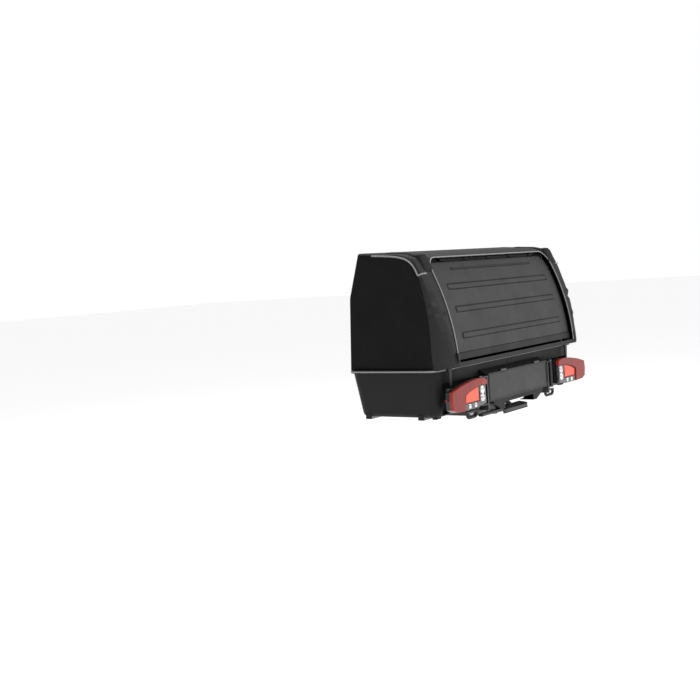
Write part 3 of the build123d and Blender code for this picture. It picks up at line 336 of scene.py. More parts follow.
def small_block(long: float, wide: float, high: float) -> tuple[Array, list]:
    """A small pillow-shaped block: an eight-cornered base under a smaller top, for stitches and teeth."""
    base = np.array([[-1, -0.6], [-0.6, -1], [0.6, -1], [1, -0.6], [1, 0.6], [0.6, 1], [-0.6, 1], [-1, 0.6]])
    half = np.array([long / 2, wide / 2])
    levels = ((1, 0.0), (1, high * 0.6), (0.7, high))
    rings = [np.column_stack([base * half * share, np.full(8, z)]) for share, z in levels]
    faces = [list(range(7, -1, -1)), list(range(16, 24))] + quads(3, 8, wrap=True).tolist()
    return np.concatenate(rings), faces


def place_piece(
    piece: bpy.types.Object,
    body: str,
    finish: bpy.types.Material,
    stands_for: Iterable[str] = (),
) -> None:
    """Dresses a new piece, puts it on its body and hides the frame parts that it stands for.

    Args:
        piece: the new piece.
        body: the moving body that it rides on.
        finish: its material.
        stands_for: frame parts that it takes the place of.
    """
    piece.data.materials.append(finish)
    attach(piece, body)
    if stands_for:
        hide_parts(*stands_for)
    LOG.info("%s rides on %s", piece.name, body)


# ----------------------------------------------------------------------------------------- finishes
class Graph:
    """Shorthand for laying out the nodes of one tree."""

    def __init__(self, tree: bpy.types.NodeTree) -> None:
        """Starts an empty layout in a tree."""
        self.tree = tree
        tree.nodes.clear()

    def node(self, kind: str, **values: object) -> bpy.types.Node:
        """Adds a node; values set its properties, or its sockets where the name is a socket's."""
        node = self.tree.nodes.new(kind)
        for key, value in values.items():
            name = key.replace("_", " ")
            if hasattr(node, key):
                setattr(node, key, value)
            else:
                socket = next(s for s in node.inputs if s.name.lower() == name.lower())
                self.feed(socket, value)
        return node

    def feed(self, socket: bpy.types.NodeSocket, value: object) -> None:
        """Links a socket to another one, or sets its value."""
        if isinstance(value, bpy.types.NodeSocket):
            self.tree.links.new(value, socket)
        else:
            socket.default_value = value

    def math(self, operation: str, a: object, b: object = 0.0, clamp: bool = False) -> bpy.types.NodeSocket:
        """A Math node's result."""
        node = self.tree.nodes.new("ShaderNodeMath")
        node.operation, node.use_clamp = operation, clamp
        self.feed(node.inputs[0], a)
        self.feed(node.inputs[1], b)
        return node.outputs[0]

    def mix(self, factor: object, a: object, b: object) -> bpy.types.NodeSocket:
        """A colour mixed from a to b."""
        node = self.tree.nodes.new("ShaderNodeMix")
        node.data_type = "RGBA"
        self.feed(node.inputs[0], factor)
        self.feed(node.inputs[6], a)
        self.feed(node.inputs[7], b)
        return node.outputs[2]

    def spread(
        self, value: object, low: float, high: float, to_low: float, to_high: float
    ) -> bpy.types.NodeSocket:
        """A value carried from one range to another and held there."""
        node = self.node("ShaderNodeMapRange", clamp=True)
        for socket, part in zip(node.inputs, (value, low, high, to_low, to_high)):
            self.feed(socket, part)
        return node.outputs[0]

    def noise(
        self, vector: object, scale: float, detail: float = 3.0, rough: float = 0.5
    ) -> bpy.types.NodeSocket:
        """A noise texture's grey value."""
        node = self.node("ShaderNodeTexNoise", Vector=vector, Scale=scale, Detail=detail, Roughness=rough)
        return node.outputs[0]


Colour = tuple[float, float, float, float]


def grey(value: float, warm: float = 0.0) -> Colour:
    """A grey, a little warmer or cooler."""
    return (value * (1 + warm), value, value * (1 - warm), 1.0)


class Effect:
    """A shader node group: where to find a surface's colour, roughness and height."""

    def __init__(self, name: str, **inputs: object) -> None:
        """Makes the group with its sockets.

        Args:
            name: the group's name.
            inputs: each further input's name and default; a tuple is a colour and a number a float.
        """
        self.group = bpy.data.node_groups.new(name, "ShaderNodeTree")
        face = self.group.interface
        face.new_socket("Vector", in_out="INPUT", socket_type="NodeSocketVector")
        for key, value in inputs.items():
            kind = "NodeSocketColor" if isinstance(value, tuple) else "NodeSocketFloat"
            face.new_socket(key, in_out="INPUT", socket_type=kind).default_value = value
        for key, kind in (("Color", "Color"), ("Roughness", "Float"), ("Height", "Float")):
            face.new_socket(key, in_out="OUTPUT", socket_type="NodeSocket" + kind)
        self.graph = Graph(self.group)
        self.given = self.graph.node("NodeGroupInput").outputs
        self.result = self.graph.node("NodeGroupOutput").inputs

    def give(self, colour: object, roughness: object, height: object) -> bpy.types.NodeTree:
        """Links the three results and hands back the group."""
        for key, value in (("Color", colour), ("Roughness", roughness), ("Height", height)):
            self.graph.feed(self.result[key], value)
        return self.group


def weave_group() -> bpy.types.NodeTree:
    """Coated plain weave: crossed threads, slubs, and large soft patches of lighter, rubbed coating."""
    effect = Effect("coated_weave", Threads=1400.0, Base=grey(0.02), Rubbed=grey(0.05), Rough=0.7)
    g, given = effect.graph, effect.given
    split = g.node("ShaderNodeSeparateXYZ", Vector=given["Vector"])
    waves = [g.math("SINE", g.math("MULTIPLY", split.outputs[k], given["Threads"])) for k in (0, 1)]
    threads = g.math("MULTIPLY", waves[0], waves[1])
    slubs = g.noise(given["Vector"], 260.0, 2.0)
    patches = g.noise(given["Vector"], 7.0, 4.0, 0.6)
    fine = g.noise(given["Vector"], 60.0, 3.0, 0.6)
    rub = g.math("MULTIPLY", g.spread(patches, 0.42, 0.72, 0.0, 0.55), g.spread(fine, 0.35, 0.7, 0.35, 1.0))
    colour = g.mix(rub, given["Base"], given["Rubbed"])
    colour = g.mix(g.spread(threads, -1.0, 1.0, 0.0, 0.18), colour, given["Rubbed"])
    roughness = g.math("SUBTRACT", given["Rough"], g.math("MULTIPLY", rub, 0.14), clamp=True)
    height = g.math("ADD", g.math("MULTIPLY", threads, 0.5), g.math("MULTIPLY", slubs, 0.7))
    return effect.give(colour, roughness, height)


def grain_group() -> bpy.types.NodeTree:
    """Moulded grain: fine pebbles, cloudy gloss, and edges rubbed lighter."""
    effect = Effect("moulded_grain", Scale=900.0, Base=grey(0.02), Worn=grey(0.06), Rough=0.5, Wear=0.6)
    g, given = effect.graph, effect.given
    cells = g.node("ShaderNodeTexVoronoi", Vector=given["Vector"], Scale=given["Scale"])
    clouds = g.noise(given["Vector"], 9.0, 4.0, 0.6)
    specks = g.noise(given["Vector"], 150.0, 2.0)
    point = g.node("ShaderNodeNewGeometry").outputs["Pointiness"]
    edge = g.math("MULTIPLY", g.spread(point, 0.52, 0.62, 0.0, 1.0), g.spread(specks, 0.4, 0.65, 0.2, 1.0))
    worn = g.math("MULTIPLY", edge, given["Wear"])
    mottled = g.mix(g.spread(clouds, 0.35, 0.7, 0.0, 0.25), given["Base"], given["Worn"])
    roughness = g.math("ADD", given["Rough"], g.spread(clouds, 0.3, 0.7, -0.06, 0.08), clamp=True)
    return effect.give(g.mix(worn, mottled, given["Worn"]), roughness, cells.outputs["Distance"])


def brushed_group() -> bpy.types.NodeTree:
    """Metal: streaks along the frame's X axis, and blotches."""
    effect = Effect("metal_streaks", Base=grey(0.5), Stain=grey(0.3), Rough=0.35)
    g, given = effect.graph, effect.given
    stretch = g.node("ShaderNodeMapping", Vector=given["Vector"], Scale=(6.0, 900.0, 900.0))
    streaks = g.noise(stretch.outputs[0], 1.0, 2.0)
    blotch = g.noise(given["Vector"], 40.0, 4.0, 0.65)
    colour = g.mix(g.spread(blotch, 0.4, 0.7, 0.0, 0.7), given["Base"], given["Stain"])
    roughness = g.math("ADD", given["Rough"], g.spread(streaks, 0.3, 0.7, -0.08, 0.1), clamp=True)
    return effect.give(colour, roughness, streaks)


def rib_group() -> bpy.types.NodeTree:
    """Woven ribs across a tape's length, from the piece's own UV map."""
    effect = Effect("tape_ribs", Ribs=2600.0, Base=grey(0.03), Crest=grey(0.06), Rough=0.75)
    g, given = effect.graph, effect.given
    split = g.node("ShaderNodeSeparateXYZ", Vector=given["Vector"])
    wave = g.math("SINE", g.math("MULTIPLY", split.outputs[0], given["Ribs"]))
    fuzz = g.noise(given["Vector"], 900.0, 2.0)
    crest = g.math("MULTIPLY", g.spread(wave, -1.0, 1.0, 0.0, 1.0), g.spread(fuzz, 0.3, 0.7, 0.5, 1.0))
    return effect.give(g.mix(crest, given["Base"], given["Crest"]), given["Rough"], crest)


@dataclass(frozen=True)
class Finish:
    """One finish: which effect it uses, its own values, and its shader's plain settings."""

    name: str
    effect: str
    base: Colour
    second: Colour
    rough: float
    values: dict[str, float] = field(default_factory=dict)
    coordinates: str = "Object"
    bump: float = 0.15
    bump_depth: float = 0.0004
    metallic: float = 0.0
    sheen: float = 0.0
    coat: float = 0.0
    specular: float = 0.5
    transmission: float = 0.0
    # painted light: emission in the second colour, a faint glow on unlit lenses and reflectors for the light
    # that they give back
    painted_glow: float = 0.0

    def build(self, groups: dict[str, bpy.types.NodeTree]) -> bpy.types.Material:
        """Makes the material.

        Args:
            groups: the effects by name.

        Returns:
            The new material.
        """
        material = bpy.data.materials.new(self.name)
        material.use_nodes = True
        g = Graph(material.node_tree)
        where = g.node("ShaderNodeTexCoord").outputs[self.coordinates]
        effect = g.node("ShaderNodeGroup")
        effect.node_tree = groups[self.effect]
        second = next(k for k in ("Rubbed", "Worn", "Stain", "Crest") if k in effect.inputs)
        own = {"Vector": where, "Base": self.base, second: self.second, "Rough": self.rough}
        for key, value in {**own, **self.values}.items():
            g.feed(effect.inputs[key], value)
        shader = g.node("ShaderNodeBsdfPrincipled")
        raised = g.node("ShaderNodeBump", Strength=self.bump, Distance=self.bump_depth)
        g.feed(raised.inputs["Height"], effect.outputs["Height"])
        plain = {
            "Metallic": self.metallic,
            "Sheen Weight": self.sheen,
            "Coat Weight": self.coat,
            "Specular IOR Level": self.specular,
            "Transmission Weight": self.transmission,
        }
        for key, value in plain.items():
            shader.inputs[key].default_value = value
        if self.painted_glow:
            shader.inputs["Emission Color"].default_value = self.second
            shader.inputs["Emission Strength"].default_value = self.painted_glow
        g.feed(shader.inputs["Base Color"], effect.outputs["Color"])
        g.feed(shader.inputs["Roughness"], effect.outputs["Roughness"])
        g.feed(shader.inputs["Normal"], raised.outputs[0])
        g.feed(g.node("ShaderNodeOutputMaterial").inputs["Surface"], shader.outputs[0])
        return material


FINISHES = (
    Finish("tray_plastic", "grain", grey(0.0065), grey(0.015), 0.50, {"Scale": 700.0, "Wear": 0.5},
           bump=0.25, specular=0.22),
    Finish("side_fabric", "weave", grey(0.0046), grey(0.0090), 0.82, coordinates="UV", bump=0.3,
           specular=0.15),
    Finish("corner_fabric", "weave", grey(0.0050), grey(0.019), 0.58, coordinates="UV", bump=0.3,
           specular=0.35),
    Finish("roof_fabric", "weave", grey(0.0105), grey(0.025), 0.62, coordinates="UV", bump=0.3,
           specular=0.35),
    Finish("door_shell", "grain", grey(0.0125), grey(0.022), 0.44, {"Scale": 1100.0, "Wear": 0.35},
           bump=0.12, specular=0.4),
    # painted shade: a darker copy of the door's plastic, for the shade at the door's lower edge and over the
    # hinge knuckles
    Finish("door_shade", "grain", grey(0.006), grey(0.012), 0.55, {"Scale": 900.0, "Wear": 0.3},
           bump=0.15, specular=0.35),
    # painted shadow: the darkest copy of the door's plastic, for the shadow in the grooves round the ribs and
    # in the hinge gap
    Finish("door_gap_shade", "grain", grey(0.0035), grey(0.006), 0.60, {"Scale": 900.0, "Wear": 0.2},
           bump=0.1, specular=0.2),
    Finish("piping", "ribs", grey(0.19), grey(0.28), 0.60, {"Ribs": 3600.0}, "UV", sheen=0.1),
    Finish("webbing", "ribs", grey(0.006), grey(0.022), 0.80, {"Ribs": 1500.0}, "UV", bump=0.6,
           bump_depth=0.0008, specular=0.25),
    Finish("pad_cover", "weave", grey(0.004), grey(0.012), 0.72, {"Threads": 1700.0}, "UV", bump=0.4,
           specular=0.3),
    Finish("thread", "ribs", grey(0.016), grey(0.035), 0.7, {"Ribs": 3000.0}, specular=0.3),
    Finish("trim_plastic", "grain", grey(0.0055), grey(0.018), 0.42, {"Scale": 1200.0, "Wear": 0.5},
           specular=0.4),
    Finish("frame_paint", "grain", grey(0.007), grey(0.030), 0.40, {"Scale": 1600.0, "Wear": 0.5},
           bump=0.2, coat=0.1),
    Finish("beam_aluminium", "brushed", grey(0.30), grey(0.20), 0.42, metallic=0.9, bump=0.2),
    Finish("zinc", "brushed", grey(0.46), grey(0.30, 0.03), 0.36, metallic=1.0, bump=0.1),
    Finish("cast_coupling", "grain", grey(0.016), grey(0.05), 0.50, {"Scale": 350.0, "Wear": 0.7},
           bump=0.5, metallic=0.2),
    Finish("bronze", "brushed", (0.42, 0.27, 0.12, 1), (0.22, 0.14, 0.07, 1), 0.38, metallic=1.0),
    Finish("rubber", "grain", grey(0.007), grey(0.018), 0.70, {"Scale": 800.0, "Wear": 0.3}, bump=0.2,
           specular=0.3),
    Finish("plate_dark", "grain", grey(0.0075), grey(0.013), 0.42, {"Scale": 500.0, "Wear": 0.2},
           bump=0.05, coat=0.05),
    Finish("lamp_black", "grain", grey(0.006), grey(0.02), 0.22, {"Scale": 1500.0, "Wear": 0.3},
           bump=0.05, coat=0.2),
    # the red lens, side tabs and reflector carry a painted glow: light given off though the lamps are not lit
    Finish("lens_red", "grain", (0.15, 0.007, 0.005, 1), (0.42, 0.035, 0.02, 1), 0.26,
           {"Scale": 240.0, "Wear": 0.8}, bump=0.40, bump_depth=0.0012, coat=0.1, specular=0.35, painted_glow=0.08),
    Finish("lens_reflector", "grain", (0.75, 0.085, 0.045, 1), (0.90, 0.22, 0.14, 1), 0.30,
           {"Scale": 420.0, "Wear": 0.2}, bump=0.6, bump_depth=0.0015, coat=0.1, specular=0.35, painted_glow=0.06),
    Finish("lens_clear", "grain", grey(0.75), grey(0.9), 0.05, {"Scale": 300.0, "Wear": 0.0}, bump=0.3,
           bump_depth=0.001, transmission=0.9, coat=0.3),
    Finish("lamp_mirror", "brushed", grey(0.80), grey(0.35), 0.10, metallic=1.0, bump=0.1),
)

# finish of each frame part that stays in view, where it isn't its record slot's own
PART_FINISHES = {
    # painted shade: the hem and the door panel's knuckles take the darker door plastic, for the shade under
    # the door's edge and in the hinge gap
    "door_hem": "door_shade",
    "door_panel": "door_shade",
    # painted shadow: the hinge rod and rail take the darkest door plastic, for the shadow line of the hinge
    # gap
    "door_hinge_rod": "door_gap_shade",
    "hinge_rail": "door_gap_shade",
}


# -------------------------------------------------------------------------------------------- hood
@dataclass(frozen=True)
class HoodShape:
    """The hood's outer skin: a side profile carried across the width, rounded at both ends.

    All in metres. The rear follows a circle seen from the side; the roof falls a little to the rear and
    the front panel leans back above its knee.
    """

    half: float
    foot: float
    roof: float
    rear_radius: float = 0.931
    bow_y: float = 0.400
    bow_z: float = 0.233
    shoulder: float = 0.706
    break_y: float = -0.338
    break_drop: float = 0.016
    front_y: float = -0.134
    knee: tuple[float, float] = (-0.077, 0.562)
    front_foot_y: float = -0.057
    edge_radius: float = 0.008
    # where the trim starts and ends: heights up the rear, and y along the roof
    rear_marks: tuple[tuple[str, float], ...] = (("piping", 0.643), ("strap", 0.652))
    roof_marks: tuple[tuple[str, float], ...] = (
        ("pad_end", -0.368),
        ("strap_end", -0.248),
        ("welt_end", -0.205),
    )
    # the shoulder's crease runs in a wider curve from the first pair of y to the second
    crease_from: tuple[float, float] = (-0.475, -0.40)
    crease_to: tuple[float, float] = (-0.26, -0.18)
    header: float = 0.702
    skin: float = 0.0012
    opening_half: float = 0.515
    opening_low: float = 0.285
    opening_round: float = 0.060

    @classmethod
    def measured(cls) -> HoodShape:
        """Takes its outer sizes from the frame's hood parts."""
        low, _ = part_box("hood_side_left")
        return cls(half=-low.x, foot=low.z, roof=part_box("hood_roof")[1].z)

    def rear_y(self, z: Array | float, radius: float | None = None) -> Array | float:
        """The rear circle's y at a height: bow_y - sqrt(radius^2 - (z - bow_z)^2).

        Args:
            z: the height or heights.
            radius: the circle's radius; the hood's own if left out.

        Returns:
            y for each height.
        """
        return self.bow_y - np.sqrt((radius or self.rear_radius) ** 2 - (z - self.bow_z) ** 2)

    def profile(self, count: int = 900) -> Array:
        """The side profile (y, z) from the rear foot over the roof to the front foot, a little softened."""
        z = np.linspace(self.foot, self.shoulder, 200)
        over = [(self.break_y, self.roof - self.break_drop), (self.front_y, self.roof)]
        down = [self.knee, (self.front_foot_y, self.foot)]
        line = np.vstack([np.stack([self.rear_y(z), z], axis=1), over, down])
        return softened(resample(line, count), 12)

    def part(self, start: str, end: str, count: int) -> tuple[Array, Array, Array]:
        """A stretch of the profile between two of its marks.

        Args:
            start: a mark, such as "foot", "header", "front" or "end".
            end: another of them, further along.
            count: number of points.

        Returns:
            The points, their outward normals, and the crease: the points moved in by the rounding, with a
            wider curve at the shoulder. All are count by 2 as (y, z).
        """
        line = self.profile()
        top = int(np.argmax(line[:, 1]))
        marks = {"foot": 0, "front": top, "end": len(line) - 1}
        for name, z in (*self.rear_marks, ("header", self.header)):
            marks[name] = int(np.searchsorted(line[:top, 1], z))
        for name, y in self.roof_marks:
            marks[name] = int(np.searchsorted(line[:top, 0], y))
        ahead = np.gradient(line, axis=0)
        ahead /= np.linalg.norm(ahead, axis=1, keepdims=True)
        normal = np.stack([-ahead[:, 1], ahead[:, 0]], axis=1)
        radius = np.where(np.arange(len(line)) < top, self.corner_radius(line[:, 1]), self.edge_radius)
        inset = line - normal * radius[:, None]
        near = ramp(line[:, 0], *self.crease_from) * (1 - ramp(line[:, 0], *self.crease_to))
        inset = inset + near[:, None] * (softened(inset, 80) - inset)
        every = resample(np.hstack([line, normal, inset])[marks[start] : marks[end] + 1], count)
        normal = every[:, 2:4] / np.linalg.norm(every[:, 2:4], axis=1, keepdims=True)
        return every[:, :2], normal, every[:, 4:]

    def corner_radius(self, z: Array) -> Array:
        """Rounding of the hood's rear corners by height: generous at the foot and tight at the roof."""
        heights = [0.267, 0.35, 0.46, 0.546, 0.629, 0.70, 0.75]
        return np.interp(z, heights, [0.070, 0.065, 0.049, 0.035, 0.018, 0.010, 0.008])

    def opening_edge(self, z: Array) -> Array:
        """Half width of the door opening at a height, with its upper corners rounded."""
        up = np.clip(z - (self.header - self.opening_round), 0, self.opening_round)
        return self.opening_half - (self.opening_round - np.sqrt(self.opening_round**2 - up**2))

    def outwards(self, path: Array) -> Array:
        """Outward directions of the rear circle at points on it."""
        way = path - np.array([0.0, self.bow_y, self.bow_z])
        way[:, 0] = 0
        return way / np.linalg.norm(way, axis=1, keepdims=True)

    def across(
        self, side: int, start: str, end: str, rows: int, inner: Array | None, columns: int
    ) -> Array:
        """A grid that covers a stretch of the profile, from an inner edge round the long edge to the side.

        x = W - r + r sin(a) and the skin moves towards the crease by 1 - cos(a) of the way, for a from 0 to a
        right angle, where r is the crease's distance.

        Args:
            side: 1 or -1, or 0 for a grid over the full width.
            start: first mark on the profile.
            end: last mark.
            rows: points along the profile.
            inner: half width of the inner edge at each row; None for the full width.
            columns: points over the flat part; the rounding has 12 more on each rounded side.

        Returns:
            Points, rows by columns by 3, whose columns crossed with rows point outwards.
        """
        line, _, crease = self.part(start, end, rows)
        inward = crease - line
        r = np.linalg.norm(inward, axis=1)[:, None]
        angle = np.linspace(0, math.pi / 2, 13)[None, 1:]
        arc_x, arc_in = self.half - r + r * np.sin(angle), (1 - np.cos(angle)) * np.ones_like(r)
        flat = np.linspace(-1, 1, columns)[None, :] * (self.half - r)
        if side:
            t = np.linspace(0, 1, columns)[None, :]
            flat = inner[:, None] * (1 - t) + (self.half - r) * t
        x = np.hstack([flat, arc_x]) if side else np.hstack([-arc_x[:, ::-1], flat, arc_x])
        move = np.zeros_like(flat)
        move = np.hstack([move, arc_in]) if side else np.hstack([arc_in[:, ::-1], move, arc_in])
        y = line[:, :1] + inward[:, :1] * move
        z = line[:, 1:] + inward[:, 1:] * move
        grid = np.stack([x, y, z], axis=2)
        return grid * np.array([-1.0, 1, 1]) if side < 0 else grid


def outward(grid: Array, centre: Array) -> Array:
    """The grid with its columns turned round where its normals point at the centre."""
    normal = grid_normals(grid)[grid.shape[0] // 2, grid.shape[1] // 2]
    middle = grid[grid.shape[0] // 2, grid.shape[1] // 2]
    return grid if normal @ (middle - centre) > 0 else grid[:, ::-1]


def raised(grid: Array, height: Array) -> Array:
    """The grid moved out along its own normals."""
    return grid + grid_normals(grid) * height[..., None]


INSIDE = np.array([0.0, -0.25, 0.45])  # a point within the hood
REARWARD = np.array([[1.0, 0, 0], [0, 0, 1.0], [0, -1.0, 0]])  # axes of a small block that faces the rear


class Hood:
    """The fabric hood: corner bands, roof with its header, front, sides and the sill below the door."""

    def __init__(self, shape: HoodShape, finishes: dict[str, bpy.types.Material]) -> None:
        """Keeps the shape and the finishes.

        Args:
            shape: the hood's skin.
            finishes: materials by finish name.
        """
        self.shape, self.finishes = shape, finishes

    def add(self, name: str, grid: Array, finish: str, nodes: Sequence[str]) -> None:
        """Adds one panel, cut flat and stretched over the hoops.

        Args:
            name: the panel's name.
            grid: its outer face.
            finish: the finish and record slot.
            nodes: the frame parts that it stands for.
        """
        grid = outward(grid, INSIDE)
        piece = shell_piece(name, grid, self.shape.skin)
        place_piece(piece, "platform", self.finishes[finish], nodes)

    def corner(self, side: Side) -> None:
        """One rear corner band, with folds where it bends and pulls towards its hook."""
        rows = 150
        z = self.shape.part("foot", "header", rows)[0][:, 1]
        grid = self.shape.across(side.value, "foot", "header", rows, self.shape.opening_edge(z), 22)
        u = np.linspace(0, 1, grid.shape[1])[None, :]
        v = ((z - z[0]) / (z[-1] - z[0]))[:, None]
        x = np.abs(grid[:, :, 0])
        fold = -0.0055 * bump(v, 0.47 + 0.05 * u, 0.030) * ramp(u, 0.15, 0.6)
        fold = fold + 0.0050 * bump(v, 0.53 + 0.05 * u, 0.035) * ramp(u, 0.2, 0.7)
        fold = fold - 0.0042 * bump(v, 0.14 + 0.20 * u, 0.030) * bump(u, 0.45, 0.45)
        fold = fold + 0.0038 * bump(v, 0.20 + 0.18 * u, 0.035) * bump(u, 0.5, 0.4)
        pull = 0.0026 * bump(v, 0.035, 0.05) * bump(x, 0.535, 0.05)
        ripple = 0.0030 * smooth_noise(x, z[:, None] * np.ones_like(u), 0.045, 3 + side.value)
        clear = ramp(x - self.shape.opening_edge(z)[:, None], 0.016, 0.032)
        edge = clear * (1 - ramp(u, 0.9, 1.0)) * ramp(v, 0, 0.03) * (1 - ramp(v, 0.97, 1.0))
        seam = -0.0012 * bump(z, self.shape.foot + 0.018, 0.003)[:, None] * np.ones_like(u)
        grid = raised(grid, side.value * ((fold + ripple + pull) * edge + seam))
        self.add(f"corner_band_{side.word}", grid, "corner_fabric", [f"hood_corner_{side.word}"])

    def roof(self) -> None:
        """The header over the door and the roof, one panel from side to side."""
        grid = self.shape.across(0, "header", "front", 110, None, 150)
        x, y = grid[:, :, 0], grid[:, :, 1]
        sag = -0.003 * bump(y, -0.235, 0.095) * (1 - ramp(np.abs(x), 0.30, 0.59))
        ripple = 0.0009 * smooth_noise(x, y, 0.060, 11) + 0.0004 * smooth_noise(x, y, 0.022, 12)
        edge = ramp(y, -0.42, -0.36) * (1 - ramp(y, -0.15, -0.136)) * (1 - ramp(np.abs(x), 0.56, 0.592))
        seam = -0.001 * bump(y, -0.338, 0.004) * (1 - ramp(np.abs(x), 0.585, 0.6))
        grid = raised(grid, (sag + ripple) * edge + seam)
        self.add("roof_panel", grid, "roof_fabric", ["hood_roof"])

    def front(self) -> None:
        """The front panel, from the roof's edge down to the rim."""
        grid = self.shape.across(0, "front", "end", 90, None, 110)
        x, z = grid[:, :, 0], grid[:, :, 2]
        edge = ramp(z, 0.267, 0.30) * (1 - ramp(z, 0.68, 0.73)) * (1 - ramp(np.abs(x), 0.54, 0.592))
        folds = 0.0022 * smooth_noise(x, z, 0.085, 21) + 0.0009 * smooth_noise(x * 0.6, z, 0.030, 22)
        self.add("front_panel", raised(grid, -folds * edge), "side_fabric", ["hood_front"])

    def side(self, side: Side) -> None:
        """One side panel, a Coons patch between the creases and the rim, with soft sagging folds."""
        rows, columns = 110, 80
        rear = self.shape.part("foot", "header", rows)[2]
        top = self.shape.part("header", "front", columns)[2]
        front = self.shape.part("front", "end", rows)[2][::-1]
        low = rear[:1] + np.linspace(0, 1, columns)[:, None] * (front[:1] - rear[:1])
        s, t = np.linspace(0, 1, columns)[None, :, None], np.linspace(0, 1, rows)[:, None, None]
        flat = (1 - s) * rear[:, None] + s * front[:, None] + (1 - t) * low[None] + t * top[None]
        flat = flat - (1 - t) * ((1 - s) * rear[0] + s * front[0]) - t * ((1 - s) * top[0] + s * top[-1])
        y, z = flat[:, :, 0], flat[:, :, 1]
        s, t = s[:, :, 0], t[:, :, 0]
        edge = ramp(s, 0, 0.10) * (1 - ramp(s, 0.90, 1)) * ramp(t, 0, 0.06) * (1 - ramp(t, 0.92, 1))
        soft = 0.0042 * smooth_noise(y * 0.8, z, 0.110, 31 + side.value)
        soft = soft + 0.0020 * smooth_noise(y, z, 0.040, 35)
        drape = 0.0026 * np.sin(38 * (z + 0.55 * y)) * bump(s, 0.15, 0.30) * bump(t, 0.45, 0.4)
        seam = -0.001 * bump(z, self.shape.foot + 0.018, 0.0035)
        x = side.value * (self.shape.half - 0.0015 * edge + (soft + drape) * edge + seam)
        grid = np.stack([x, y, z], axis=2)
        self.add(f"side_panel_{side.word}", grid, "side_fabric", [f"hood_side_{side.word}"])

    def sill(self) -> None:
        """The strip between the rim and the door's lower edge."""
        shape = self.shape
        z = np.linspace(shape.foot, shape.opening_low, 10)
        x = np.linspace(-shape.opening_half, shape.opening_half, 140)
        grid = np.stack(np.broadcast_arrays(x[None, :], shape.rear_y(z)[:, None], z[:, None]), axis=2)
        wave = 0.0006 * smooth_noise(grid[:, :, 0], grid[:, :, 2], 0.05, 41)
        self.add("sill_strip", raised(grid, -np.abs(wave)), "corner_fabric", ["hood_sill"])

    def build(self) -> None:
        """Adds every panel."""
        for side in Side:
            self.corner(side)
            self.side(side)
        self.roof()
        self.front()
        self.sill()


